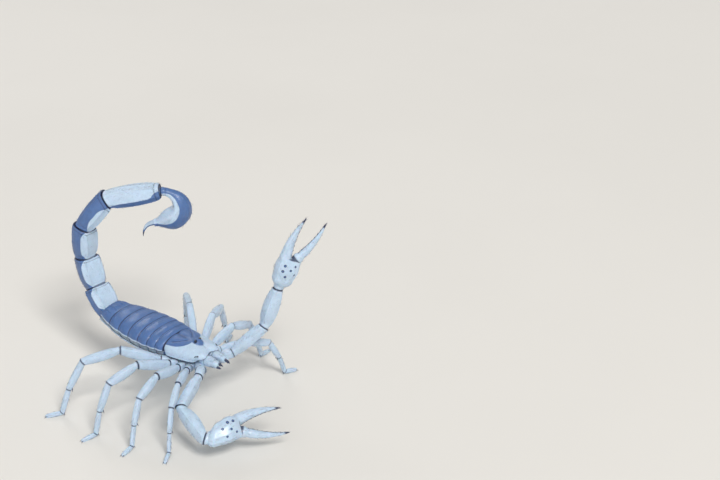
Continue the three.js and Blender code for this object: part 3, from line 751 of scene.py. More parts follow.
class Tree:
    """Short ways to place and join shader nodes."""

    def __init__(self, tree):
        self.tree = tree

    def node(self, kind, **values):
        node = self.tree.nodes.new(kind if kind.startswith("Node") else "ShaderNode" + kind)
        for name, value in values.items():
            setattr(node, name, value)
        return node

    def put(self, socket, value):
        if isinstance(value, bpy.types.NodeSocket):
            self.tree.links.new(value, socket)
        else:
            socket.default_value = value

    def fill(self, node, **values):
        """Gives a node's inputs their values or links, with _ for each space of a name."""
        for name, value in values.items():
            self.put(node.inputs[name.replace("_", " ")], value)
        return node.outputs

    def math(self, operation, a, b, clamp=False):
        node = self.node("Math", operation=operation, use_clamp=clamp)
        self.put(node.inputs[0], a)
        self.put(node.inputs[1], b)
        return node.outputs[0]

    def sum(self, *values, clamp=False):
        total, *others = values
        for value in others:
            total = self.math("ADD", total, value, clamp and value is others[-1])
        return total

    def product(self, a, b):
        return self.math("MULTIPLY", a, b)

    def mix(self, share, a, b):
        node = self.node("Mix", data_type="RGBA")
        for place, value in ((0, share), (6, a), (7, b)):  # factor and the two colours
            self.put(node.inputs[place], value)
        return node.outputs[2]

    def ranged(self, value, low, high, to_low=0.0, to_high=1.0):
        node = self.node("MapRange", interpolation_type="SMOOTHSTEP")
        return self.fill(node, Value=value, From_Min=low, From_Max=high, To_Min=to_low, To_Max=to_high)[0]

    def noise(self, scale, detail=3.0, roughness=0.5):
        node = self.node("TexNoise")
        return self.fill(node, Vector=self.place(), Scale=scale, Detail=detail, Roughness=roughness)[0]

    def cells(self, scale):
        return self.fill(self.node("TexVoronoi"), Vector=self.place(), Scale=scale)["Distance"]

    def place(self):
        return self.node("TexCoord").outputs["Object"]

    def mask(self, name):
        return self.node("Attribute", attribute_name=name).outputs["Fac"]

    def group(self, group, **values):
        return self.fill(self.node("Group", node_tree=group), **values)

    def bumped(self, shader, height, distance):
        bump = self.fill(self.node("Bump"), Height=height, Distance=distance)
        self.put(shader.inputs["Normal"], bump["Normal"])


WHITE = (1.0, 1.0, 1.0, 1.0)
SCATTER_DEPTH = 0.0006


def shell_colour():
    """Pale and slate shell with soft uneven borders, ink marks and faint mottling."""

    def wire(tree, given, out):
        wander = tree.math("SUBTRACT", tree.noise(420.0), 0.5)
        border = tree.product(wander, given["Border Wander"])
        slate = tree.ranged(tree.sum(given["Slate Mask"], border), 0.38, 0.62)
        speck = tree.ranged(tree.noise(2600.0, 2.0, 0.6), 0.35, 0.75)
        cloud = tree.ranged(tree.noise(420.0, 5.0, 0.65), 0.32, 0.68)
        cloud = tree.product(cloud, given["Mottle"])
        pale = tree.mix(cloud, given["Pale"], given["Pale Shade"])
        dark = tree.mix(cloud, given["Slate"], given["Slate Light"])
        shell = tree.mix(slate, pale, dark)
        shell = tree.mix(tree.product(speck, given["Speckle"]), shell, given["Slate"])
        ink = tree.ranged(tree.sum(given["Ink Mask"], tree.product(wander, 0.12)), 0.12, 0.85)
        tree.put(out["Color"], tree.mix(ink, shell, given["Ink"]))

    colours = dict.fromkeys(("Pale", "Pale Shade", "Slate", "Slate Light", "Ink"), WHITE)
    values = {"Slate Mask": 0.0, "Ink Mask": 0.0, "Border Wander": 0.3, "Mottle": 0.5, "Speckle": 0.1}
    return node_group("Shell colour", colours | values, {"Color": WHITE}, wire)


def shell_grain():
    """Fine grains, pits and creases of the shell, as a height."""

    def wire(tree, given, out):
        grain = tree.ranged(tree.cells(given["Grain Scale"]), 0.0, 0.6, 1.0, 0.0)
        pits = tree.ranged(tree.cells(1300.0), 0.0, 0.16, 0.0, 1.0)
        crease = tree.noise(900.0, 5.0, 0.6)
        parts = ((grain, "Grains"), (pits, "Pits"), (crease, "Creases"))
        tree.put(out["Height"], tree.sum(*(tree.product(part, given[name]) for part, name in parts)))
        tree.put(out["Grain"], grain)

    inputs = {"Grain Scale": 4200.0, "Grains": 0.5, "Pits": 0.5, "Creases": 0.5}
    return node_group("Shell grain", inputs, {"Height": 0.0, "Grain": 0.0}, wire)


def worn_gloss():
    """Roughness of a waxy shell that is rubbed smoother in patches."""

    def wire(tree, given, out):
        rubbed = tree.ranged(tree.noise(330.0, 3.0, 0.6), 0.35, 0.7)
        spread = tree.product(tree.math("SUBTRACT", rubbed, 0.5), given["Spread"])
        dusty = tree.product(given["Grain"], 0.08)
        tree.put(out["Roughness"], tree.sum(given["Roughness"], spread, dusty, clamp=True))

    inputs = {"Roughness": 0.4, "Spread": 0.15, "Grain": 0.0}
    return node_group("Worn gloss", inputs, {"Roughness": 0.0}, wire)


# ---- materials


def rgba(colour, gain=1.0):
    return tuple(min(1.0, part * gain) for part in colour) + (1.0,)


def material(name, base, wire):
    """A material, made once; wire(tree, shader) fills it."""
    if name not in bpy.data.materials:
        made = bpy.data.materials.new(name)
        made.use_nodes = True
        made.diffuse_color = rgba(base)
        wire(Tree(made.node_tree), made.node_tree.nodes["Principled BSDF"])
    return bpy.data.materials[name]


def shell_material(
    name, mottle, speckle, relief, gloss, base, pale, wander, coat, specular, scatter, depth
):
    """Shell in pale and slate, laid out by the masks of the mesh."""
    colours = bpy.context.scene.scorpion_colours

    def wire(tree, shader):
        colour = tree.group(
            shell_colour(),
            Pale=rgba(colours.pale, pale[0]),
            Pale_Shade=rgba(colours.pale, pale[1]),
            Slate=rgba(colours.slate),
            Slate_Light=rgba(colours.slate, 1.3),
            Ink=rgba(colours.ink),
            Slate_Mask=tree.mask("slate"),
            Ink_Mask=tree.mask("ink"),
            Border_Wander=wander,
            Mottle=mottle,
            Speckle=speckle,
        )
        height = tree.group(shell_grain(), Grains=relief[0], Pits=relief[1], Creases=0.35)
        worn = tree.group(worn_gloss(), Roughness=gloss[0], Spread=gloss[1], Grain=height["Grain"])
        tree.fill(shader, Base_Color=colour["Color"], Roughness=worn["Roughness"])
        tree.fill(shader, Specular_IOR_Level=specular, Coat_Weight=coat[0], Coat_Roughness=coat[1])
        tree.fill(shader, Subsurface_Weight=scatter[0], Subsurface_Scale=scatter[1])
        tree.bumped(shader, height["Height"], depth)

    return material(name, getattr(colours, base), wire)


SATIN = {
    "base": "pale",
    "pale": (1.0, 0.84),
    "wander": 0.3,
    "coat": (0.25, 0.18),
    "specular": 0.45,
    "scatter": (0.12, SCATTER_DEPTH),
    "depth": 0.00004,
}
POLISHED = {
    "base": "ink",
    "pale": (0.85, 0.6),
    "wander": 0.2,
    "coat": (0.6, 0.08),
    "specular": 0.5,
    "scatter": (0.0, 0.05),
    "depth": 0.00003,
}


def back_material():
    return shell_material("Back shell", 0.6, 0.12, (0.7, 0.25), (0.42, 0.18), **SATIN)


def limb_material():
    return shell_material("Limb shell", 0.7, 0.1, (0.35, 0.25), (0.38, 0.18), **SATIN)


def tip_material():
    return shell_material("Hard tips", 0.3, 0.05, (0.05, 0.1), (0.2, 0.12), **POLISHED)


def eye_material():
    """Wet black eye with a faint blue depth."""

    def wire(tree, shader):
        shade = tree.ranged(tree.noise(1800.0, 2.0, 0.5), 0.3, 0.7)
        depth = tree.mix(shade, (0.002, 0.003, 0.006, 1), (0.010, 0.018, 0.045, 1))
        wet = tree.ranged(tree.noise(5000.0, 2.0), 0.0, 1.0, 0.03, 0.09)
        tree.fill(shader, Base_Color=depth, Roughness=wet, Coat_Weight=1.0, Coat_Roughness=0.02)

    return material("Eye", (0.004, 0.006, 0.012), wire)


def skin_material():
    """Soft finely pleated skin of the joints."""
    colours = bpy.context.scene.scorpion_colours

    def wire(tree, shader):
        cloud = tree.ranged(tree.noise(500.0, 4.0, 0.6), 0.3, 0.7)
        colour = tree.mix(cloud, rgba(colours.membrane), rgba(colours.membrane, 0.6))
        colour = tree.mix(tree.mask("ink"), colour, rgba(colours.ink, 3.0))
        bands = tree.node("TexWave", wave_type="BANDS", bands_direction="DIAGONAL")
        pleats = tree.fill(bands, Vector=tree.place(), Scale=900.0, Distortion=6.0, Detail=3.0)["Fac"]
        tree.fill(shader, Base_Color=colour, Roughness=tree.ranged(cloud, 0.0, 1.0, 0.5, 0.68))
        tree.fill(shader, Subsurface_Weight=0.2, Subsurface_Scale=SCATTER_DEPTH)
        tree.bumped(shader, tree.sum(pleats, tree.noise(3000.0, 3.0)), 0.00006)

    return material("Joint skin", colours.membrane, wire)


def bristle_material():
    """Stiff dull bristles, paler in places."""
    colour = bpy.context.scene.scorpion_colours.bristle

    def wire(tree, shader):
        shade = tree.ranged(tree.noise(700.0, 2.0), 0.3, 0.7)
        mixed = tree.mix(shade, rgba(colour), rgba(colour, 2.2))
        tree.fill(shader, Base_Color=mixed, Roughness=tree.ranged(shade, 0.0, 1.0, 0.45, 0.6))

    return material("Bristles", colour, wire)


MATERIALS = {
    "dark_cuticle": back_material,
    "pale_cuticle": limb_material,
    "membrane": skin_material,
    "hard_tips": tip_material,
    "eye": eye_material,
    "bristle": bristle_material,
}


# ---- trunk


def trunk_point(y):
    y = np.asarray(y, float)
    share = np.maximum(0, y) / TRUNK_LENGTH
    return np.stack([np.zeros_like(y), y, TRUNK_LEVEL + TRUNK_RISE * share**2], -1)


def tail_direction(pitch, swing):
    pitch, swing = math.radians(pitch), math.radians(swing)
    back = np.array([-math.sin(swing), math.cos(swing), 0.0])
    along = back * math.cos(pitch) + UP * math.sin(pitch)
    dorsal = -back * math.sin(pitch) + UP * math.cos(pitch)
    return along, dorsal


TRUNK_END = unit(trunk_point(TRUNK_LENGTH) - trunk_point(JOINT_YS[-2]))
TAIL_FRAMES = [tail_direction(pitch, swing) for _, _, _, pitch, swing in TAIL]
TAIL_DIRECTIONS = [TRUNK_END, *(along for along, _ in TAIL_FRAMES)]
TAIL_JOINTS = [trunk_point(TRUNK_LENGTH)]
for (tail_length, *_), tail_along in zip(TAIL, TAIL_DIRECTIONS[1:]):
    TAIL_JOINTS.append(TAIL_JOINTS[-1] + tail_along * tail_length)


def trunk_ring(y, angle, fit):
    """Points of the trunk's outline at y, drawn in or out by fit."""
    width = np.interp(y, JOINT_YS, TRUNK_WIDTHS)
    last = smooth((y - JOINT_YS[-2]) / SEGMENT_LENGTHS[-1], 0.2, 1)
    power = 2 / 2.5
    x = width / 2 * fit * signed_power(np.cos(angle), power)
    depth = np.where(np.sin(angle) > 0, lerp(TRUNK_CROWN, 0.36, last), lerp(TRUNK_BELLY, 0.38, last))
    z = width * depth * fit * signed_power(np.sin(angle), power)
    plane = halving(*TAIL_DIRECTIONS[:2])
    lean = np.clip((y - JOINT_YS[-2]) / SEGMENT_LENGTHS[-1], 0, 1)
    y = y - lean * (z * plane[2]) / plane[1] + 0 * x
    centre = trunk_point(y)
    return np.stack([x, y, centre[..., 2] + z], -1)


LAST_PLATE_KEELS = (52, 75, 105, 128)


def back_plate(shape, index):
    """One plate of the back, tucked under the one before and lapping over the next."""
    length = SEGMENT_LENGTHS[index]
    t = np.linspace(-0.1, 1.0 + 0.3 / length, 46)[:, None]
    angle = around(120, 4, 176)
    y = JOINT_YS[index] + t * length
    fit = 0.93 + 0.066 * smooth(t, -0.08, 0.24) + 0.05 * np.sin(np.pi * np.clip(t, 0, 1))
    surface = Surface(trunk_ring(y, angle, fit), t, angle, wrap=False)
    aside = np.abs(turned_away(angle, 90))
    middle = hump(aside, 0, 0.1) * smooth(t, 0.15, 0.6)
    rim = hump(t, 1.0, 0.06) + hump(aside, math.radians(84), 0.05)
    relief = 0.12 * middle + 0.08 * rim - 0.05 * hump(t, 0.86, 0.06)
    last = index == len(SEGMENT_LENGTHS) - 1
    if last:
        relief = relief + 0.2 * keels(angle, LAST_PLATE_KEELS, 0.06) * smooth(t, 0.25, 0.7)
    surface.raised(relief)
    edge = smooth(aside, math.radians(74), math.radians(88))
    slate = 1.0 - 0.9 * edge
    ink = 1.0 - smooth(t, 0.05, 0.2) + 0.5 * hump(t, 1.0 + 0.3 / length, 0.05) + 0.2 * middle * (1 - edge)
    shape.plate(surface, millimetres("plate"), slate, ink)

    def hind_half(t, angle):
        return smooth(t, 0.15, 0.7) * (0.25 + 0.75 * smooth(t, 0.5, 0.9)) * (t < 1.0)

    rows, columns, luck = surface.scattered(0.4, SEEDS["back"] + index, hind_half)
    shape.grains(surface, rows, columns, millimetres("grain") * (0.55 + 0.65 * luck**2), slate, 0.0)
    hind_edge = surface.open_lines(np.linspace(20, 160, 60), 0.94)
    shape.grains(surface, *hind_edge, millimetres("grain"), slate, 0.2)
    if last:
        shape.grains(surface, *surface.open_lines(LAST_PLATE_KEELS, 0.3, 0.95, 12), 0.16, slate, 0.2)
    return surface


def belly_plate(shape, index):
    """One plate of the belly, with a slit for breath on each side of the third to the sixth."""
    length = SEGMENT_LENGTHS[index]
    t = np.linspace(-0.06, 1.0 + 0.2 / length, 36)[:, None]
    angle = around(96, 196, 344)
    y = JOINT_YS[index] + t * length
    fit = 0.955 + 0.045 * smooth(t, -0.05, 0.25) + 0.015 * np.sin(np.pi * np.clip(t, 0, 1))
    surface = Surface(trunk_ring(y, angle, fit), t, angle, wrap=False)
    ink = 0.8 * (1 - smooth(t, -0.02, 0.14)) + 0.15 * hump(t, 1.0, 0.05)
    relief = 0.07 * hump(t, 0.96, 0.05) + 0 * angle
    if 2 <= index <= 5:
        for place in (232, 308):
            slit = near(angle, place, 0.1) * hump(t, 0.55, 0.07)
            relief = relief - 0.22 * slit
            ink = ink + 0.9 * slit
    else:
        relief = relief + 0.16 * keels(angle, (250, 270, 290), 0.05) * (index == 6)
    surface.raised(relief)
    shape.plate(surface, millimetres("plate"), 0.0, ink)
    return surface


def trunk_skin(shape):
    """The soft body between the plates, pleated along the flanks."""
    y = np.linspace(-8.4, TRUNK_LENGTH + 0.35, 160)[:, None]
    angle = around(96)
    inside = np.where(y < 0, lerp(0.72, 0.93, smooth(y, -4.0, 0.0)), 0.93)
    flank = near(angle, -6, 0.16) + near(angle, 186, 0.16)
    segment = np.clip(np.searchsorted(JOINT_YS, y[:, 0], side="right") - 1, 0, 6)[:, None]
    share = np.clip((y - JOINT_YS[segment]) / np.array(SEGMENT_LENGTHS)[segment], 0, 1)
    puff = 0.06 * np.sin(np.pi * share) ** 0.7 * flank
    pleats = 0.006 * np.sin(y * 7.5 + 2.5 * np.sin(angle * 5 + y)) * flank
    fit = inside + np.where(y > 0, puff + pleats, 0.0)
    points = trunk_ring(y, angle, fit)
    surface = Surface(points, y / TRUNK_LENGTH, angle)
    ink = 0.9 * (1 - smooth(np.minimum(share, 1 - share), 0.0, 0.1)) * flank
    shape.limb(surface, 0.0, ink)
    return surface


class SCORPION_OT_trunk(bpy.types.Operator):
    """Make the plates of back and belly and the soft skin between them"""

    bl_idname = "scorpion.trunk"
    bl_label = "Trunk"

    def execute(self, context):
        coat = Coat(SEEDS["trunk_coat"], 2 * len(SEGMENT_LENGTHS))
        for index in range(len(SEGMENT_LENGTHS)):
            back = Shape()
            surface = back_plate(back, index)
            back.build(f"back_plate_{index + 1}", "dark_cuticle", f"trunk_segment_{index + 1}")
            coat.grow(surface, 46, (0.3, 0.7), lean=1.6, where=lambda t, angle: smooth(t, 0.6, 0.95))
            belly = Shape()
            surface = belly_plate(belly, index)
            belly.build(f"belly_plate_{index + 1}", "pale_cuticle")
            coat.grow(surface, 50, (0.3, 0.8), lean=1.5)
        soft = Shape()
        trunk_skin(soft)
        soft.build("trunk_skin", "membrane")
        coat.build("trunk_bristles")
        return {"FINISHED"}


# ---- carapace and eyes


def carapace_surface():
    """The shield of the front body, open below, with its hollowed front edge."""
    t = np.linspace(0, 1, 112)[:, None]
    angle = around(168, -7, 187)
    front, rear = CARAPACE_WIDTHS
    aside = np.abs(turned_away(angle, 90))
    eye_share = EYE["behind_front"] / CARAPACE_LENGTH
    half_width = lerp(front, rear, np.sin(t * np.pi / 2) ** 1.2) / 2
    half_width = half_width * (1 - 0.1 * (1 - smooth(t, 0.0, 0.16)) ** 2) * (1 - 0.05 * smooth(t, 0.9, 1.0))
    crown = lerp(CARAPACE_CROWN * 0.66, CARAPACE_CROWN, np.sin(t * np.pi / 2))
    power = 2 / 2.4
    x = half_width * signed_power(np.cos(angle), power)
    along = (t - eye_share) * CARAPACE_LENGTH
    mound = np.exp(-((x / EYE_MOUND["half_width"]) ** 2) - (along / EYE_MOUND["half_length"]) ** 2)
    knob = np.exp(-((x / 1.15) ** 4) - (along / 1.25) ** 4)
    furrow = hump(x, 0, FURROW["half_width"]) * smooth(t, 0.5, 0.8)
    fan = 0.8 + 3.4 * smooth(t, 0.55, 0.92)
    fan_furrow = hump(np.abs(x), fan, 0.5) * smooth(t, 0.55, 0.68) * (1 - smooth(t, 0.88, 0.97))
    front_groove = hump(x, 0, 0.35) * (1 - smooth(t, 0.26, 0.36)) * smooth(t, 0.05, 0.16)
    cheek = hump(np.abs(x), 3.2, 1.5) * hump(t, 0.3, 0.16)
    top = crown + EYE_MOUND["height"] * mound + 0.38 * knob - FURROW["depth"] * furrow
    z = np.where(np.sin(angle) > 0, top, CARAPACE_SKIRT * 4) * signed_power(np.sin(angle), power)
    z = z - 1.1 * (1 - smooth(t, 0.0, 0.14)) ** 1.5 * np.maximum(np.sin(angle), 0)
    y = -CARAPACE_LENGTH + GAP / 2 + t * (CARAPACE_LENGTH - GAP) + 0 * x
    out = np.abs(x) / (front / 2)
    near_front = smooth(-y, CARAPACE_LENGTH * 0.72, CARAPACE_LENGTH)
    y = y + CARAPACE_NOTCH * (hump(out, 0, 0.4) + 1.3 * smooth(out, 0.55, 0.95) ** 2) * near_front
    front_side = 1.9 * smooth(aside, 1.0, 1.7) * smooth(-y, 0.6 * CARAPACE_LENGTH, CARAPACE_LENGTH)
    y = y + front_side - 0.9 * smooth(aside, 1.2, 1.75) * smooth(t, 0.86, 1.0)
    surface = Surface(np.stack([x, y, TRUNK_LEVEL + z], -1), t, angle, wrap=False)
    rim = hump(t, 0.98, 0.016) + hump(t, 0.012, 0.02) + hump(aside, math.radians(94), 0.05)
    from_eye = np.hypot(np.abs(x) - EYE["apart"] - 0.1, along)
    socket = hump(from_eye, 0.58, 0.14)
    relief = 0.12 * rim - 0.32 * fan_furrow - 0.2 * front_groove + 0.16 * socket + 0.18 * cheek
    surface.raised(relief * smooth(np.sin(angle) + 0.2, 0.0, 0.2))
    saddle = 1 - smooth((np.abs(x) / 5.7) ** 2.5 + ((1.03 - t) / 0.54) ** 2.5, 0.8, 1.2)
    slate = np.maximum(saddle, 0.95 * mound**0.6)
    ink = 0.75 * hump(t, 1.0, 0.016) + 0.5 * fan_furrow + 0.35 * front_groove + 0.6 * hump(t, 0.0, 0.016)
    ink = ink + 0.45 * furrow * smooth(t, 0.6, 0.8) + 0.6 * hump(aside, math.radians(97), 0.03)
    ink = ink + 0.8 * hump(from_eye, 0.46, 0.12)
    return surface, slate, ink


def eye_centre(side):
    y = EYE["behind_front"] - CARAPACE_LENGTH
    height = CARAPACE_CROWN * 0.95 + EYE_MOUND["height"] * 0.55
    return np.array([side * (EYE["apart"] + 0.14), y, TRUNK_LEVEL + height + 0.1])


def ball(centre, radius):
    """A sphere as rings from pole to pole, its poles to the sides."""
    tilt = np.linspace(0.02, math.pi - 0.02, 25)[:, None]
    turn = around(36)
    wide = np.sin(tilt)
    points = np.stack([-np.cos(tilt) + 0 * turn, wide * np.cos(turn), wide * np.sin(turn)], -1)
    return centre + points * radius


SIDE_EYES = ((0.1, 34, 0.25), (0.142, 30, 0.23), (0.182, 26, 0.19))  # share of the length, angle, radius


class SCORPION_OT_carapace(bpy.types.Operator):
    """Make the shield of the front body with its furrows and grains"""

    bl_idname = "scorpion.carapace"
    bl_label = "Carapace"

    def execute(self, context):
        shape = Shape()
        surface, slate, ink = carapace_surface()
        shape.plate(surface, millimetres("plate"), slate, ink)

        def upper(t, angle):
            x = 6.0 * np.cos(angle)
            along = (t - EYE["behind_front"] / CARAPACE_LENGTH) * CARAPACE_LENGTH
            clear = smooth(np.hypot(np.abs(x) - EYE["apart"], along), 0.5, 0.8)
            coarse = 0.35 + 0.5 * smooth(np.abs(x), 1.5, 4.5)
            return clear * smooth(np.sin(angle), -0.1, 0.1) * coarse * (t < 0.97)

        rows, columns, luck = surface.scattered(0.38, SEEDS["carapace"], upper)
        shape.grains(surface, rows, columns, millimetres("grain") * (0.5 + 0.9 * luck**2), slate, 0.0)
        for first, spread in ((0.975, 70), (0.03, 60)):
            edge = surface.open_lines(np.linspace(10, 170, spread), first)
            shape.grains(surface, *edge, millimetres("grain") * 1.1, slate, 0.15)
        shape.build("carapace_shield", "dark_cuticle", "carapace")
        coat = Coat(SEEDS["carapace_coat"], 1)

        def margins(t, angle):
            return 0.15 + smooth(np.abs(turned_away(angle, 90)), 1.0, 1.5) + (1 - smooth(t, 0.0, 0.08))

        coat.grow(surface, 220, (0.25, 0.6), lean=-1.0, where=margins)
        coat.build("carapace_bristles")
        return {"FINISHED"}


class SCORPION_OT_eyes(bpy.types.Operator):
    """Make the two large eyes of the crown and the three small ones at each front corner"""

    bl_idname = "scorpion.eyes"
    bl_label = "Eyes"

    def execute(self, context):
        shield, _, _ = carapace_surface()
        for name, side in SIDES.items():
            shape = Shape(4)
            shape.rings(ball(eye_centre(side), EYE["radius"]))
            for share, angle, radius in SIDE_EYES:
                place, normal = shield.spot(*shield.open_lines([90 - side * (90 - angle)], share))
                shape.rings(ball(place[0] + normal[0] * radius * 0.3, radius))
            shape.build(f"eyes_{name}", "eye", f"eye_{name}")
        return {"FINISHED"}


# ---- mouth claws


def chelicera_body(side):
    back = trunk_point(CHELICERA["behind_front"] - CARAPACE_LENGTH)
    back = back + np.array([side * CHELICERA["apart"], 0, -CHELICERA["drop"]])
    front = back - np.array([0, CHELICERA["length"], 0])

    def section(t, angle):
        wide = CHELICERA["radius"] * swell((0.9, 1.1, 0.78), t)
        wide = wide * (1 - 0.1 * hump(t, 0.42, 0.04))
        return wide, wide, wide, 2.2

    return tube(Path(back, front), UP, section, *MESH["mouth_claw"]), front


def chelicera_finger(side, front, aside, lift, droop):
    length = CHELICERA_FINGER["length"]
    root = front + np.array([side * aside, CHELICERA_FINGER["inset"], lift])
    tip = root + np.array([side * -0.3, -length, -droop])
    knuckle = root + np.array([side * 0.25, -length * 0.7, 0.35 if lift > 0 else -0.25])

    def section(t, angle):
        radius = lerp(CHELICERA_FINGER["root"], CHELICERA_FINGER["tip"], t**1.4)
        return radius, radius * 1.05, radius * 1.05, 2.2

    return tube(Path(root, knuckle, tip), UP, section, *MESH["mouth_finger"])


def add_teeth(shape, surface, degrees, first, last, count, size, radius, every=0):
    """A row of teeth along one edge of a finger, with a larger one every so many."""
    rows = (np.linspace(first, last, count) * (len(surface.points) - 1)).round().astype(int)
    column = np.argmin(np.abs(turned_away(surface.angle[0], degrees)))
    heads = unit(surface.normals[rows, column] + surface.along[rows, column] * 0.2)
    sizes = np.full(count, size, float)
    if every:
        sizes[::every] *= 1.8
    roots = surface.points[rows, column] - heads * sizes[:, None] * 0.3
    radii = radius * sizes / size
    shape.spikes(roots, heads, sizes * 1.3, radii, heads * 0, shape.row_places(count), TOOTH, 8, 0.0, 0.85)


class SCORPION_OT_chelicerae(bpy.types.Operator):
    """Make the pair of small toothed claws at the mouth"""

    bl_idname = "scorpion.chelicerae"
    bl_label = "Mouth claws"

    def execute(self, context):
        coat = Coat(SEEDS["mouth_coat"], 2)
        for name, side in SIDES.items():
            shape = Shape(9)
            body, front = chelicera_body(side)
            seams = 0.55 * hump(body.t, 0.42, 0.025) + 0.4 * hump(body.t, 0.93, 0.025)
            shape.limb(body, 0.0, seams, end=TIP)
            coat.grow(body, 150, (0.3, 0.9), lean=1.7, where=lambda t, angle: smooth(t, 0.35, 0.8))
            for number, (_, aside, lift, droop) in enumerate(CHELICERA_FINGERS):
                finger = chelicera_finger(side, front, aside, lift, droop)
                shape.limb(finger, 0.0, smooth(finger.t, 0.3, 0.75), TIP, TIP)
                edge = -90 if number == 0 else 90
                add_teeth(shape, finger, edge, 0.3, 0.8, 4, 0.3, 0.16)
            shape.build(f"chelicera_{name}_claw", "pale_cuticle", f"chelicera_{name}")
        coat.build("chelicera_bristles")
        return {"FINISHED"}


# ---- hips and underside


def hip_point(leg, side):
    behind = LEGS[leg][0]
    return trunk_point(behind - CARAPACE_LENGTH) + np.array([side * HIP["aside"], 0, -HIP["drop"]])


def leg_heading(leg, side_name):
    heading = math.radians(LEG_POSES[side_name][leg][0])
    return np.array([SIDES[side_name] * math.cos(heading), -math.sin(heading), 0.0])


def coxa_root(leg, side):
    hip = hip_point(leg, side)
    meeting = COXAE_MEET["behind_front"] - CARAPACE_LENGTH
    y = lerp(hip[1], meeting, COXAE_MEET["gather"])
    return np.array([side * LEG_COXA["aside"], y, hip[2] - LEG_COXA["drop"]])


def arm_root(side):
    point = trunk_point(ARM_ROOT["behind_front"] - CARAPACE_LENGTH)
    return point + np.array([side * ARM_ROOT["aside"], 0, -ARM_ROOT["drop"]])


def arm_coxa_root(side):
    arm = arm_root(side)
    return np.array([side * ARM_COXA["aside"], arm[1] + ARM_COXA["behind"], arm[2] - ARM_COXA["drop"]])


def trochanter_direction(leg, side_name):
    pitch = math.radians(HIP["trochanter_pitch"])
    return leg_heading(leg, side_name) * math.cos(pitch) + UP * math.sin(pitch)


def arm_directions(side_name):
    pose = ARM_POSES[side_name]
    return [unit(pose[part]) for part in ARM_PARTS]


def coxa(root, end, outline, after):
    """The first part of a limb, beside the breastplate."""

    def section(t, angle):
        return lerp(*outline["half_widths"], t), outline["top"], lerp(*outline["bottoms"], t), 2.4

    before = unit(end - root)
    surface = tube(Path(root, end), UP, section, *MESH["coxa"], end=halving(before, after))
    relief = 0.1 * hump(surface.t, 0.95, 0.04) + 0.1 * keels(surface.angle, (-25, 205), 0.12)
    return surface.raised(relief)


def belly_pad(corners, level, hollow):
    """A smooth plate under the body: half widths at given y, curled up at its edges."""
    y = np.linspace(corners[0][0], corners[-1][0], 36)[:, None]
    across = np.linspace(1, -1, 31)[None]
    half_width = np.interp(y, [at for at, _ in corners], [wide for _, wide in corners])
    share = (y - y[0]) / (y[-1] - y[0])
    ends = 1 - np.sin(np.pi * np.clip(0.04 + 0.92 * share, 0, 1)) ** 0.5
    groove = hollow * hump(across, 0, 0.14) * smooth(share, 0.35, 0.8)
    z = TRUNK_LEVEL + level + 0.85 * np.abs(across) ** 5 + 0.6 * ends + groove
    points = np.stack([across * half_width, y + 0 * across, z], -1)
    return Surface(points, share, across * math.pi, wrap=False)


BELLY_PADS = (  # y and half width of the corners, level, depth of the groove
    (((-7.3, 0.3), (-6.0, 1.05), (-5.2, 1.35), (-2.6, 1.55)), -4.75, 0.5),  # breastplate
    (((-2.3, 0.9), (-1.6, 1.7), (-0.7, 1.5)), -4.6, 0.9),  # operculum
    (((0.9, 0.9), (1.6, 1.4), (2.7, 0.9)), -4.5, 0.3),  # base of the combs
)


def jaw_lobe(root, side, number):
    """The lobe that the hips of the first two pairs of legs send forward along the mouth."""
    tip = np.array([side * (0.62 + 0.5 * number), root[1] - 3.3 + 0.9 * number, root[2] + 0.1])
    start = root + np.array([side * 0.15, 0.1, -0.15])
    bend = np.array([side * (0.7 + 0.4 * number), (start[1] + tip[1]) / 2 + 0.8, root[2] - 0.2])

    def section(t, angle):
        wide = lerp(0.75, 0.5, t)
        return wide, 0.9, lerp(1.15, 0.8, t), 2.3

    return tube(Path(start, bend, tip), UP, section, *MESH["jaw_lobe"])


def throat_and_floor(shape):
    """The soft floor of the front body, above the hips."""
    start = trunk_point(UNDERSIDE["behind_front"] - CARAPACE_LENGTH)

    def section(t, angle):
        depth = lerp(UNDERSIDE["depth"] * 0.8, UNDERSIDE["depth"], t)
        return lerp(*UNDERSIDE["half_widths"], t), 0.4, depth, 3.0

    surface = tube(Path(start, trunk_point(0.0)), UP, section, *MESH["front_floor"])
    surface.raised(0.04 * np.sin(surface.t * 40 + 2 * np.sin(surface.angle * 3)))
    shape.limb(surface)


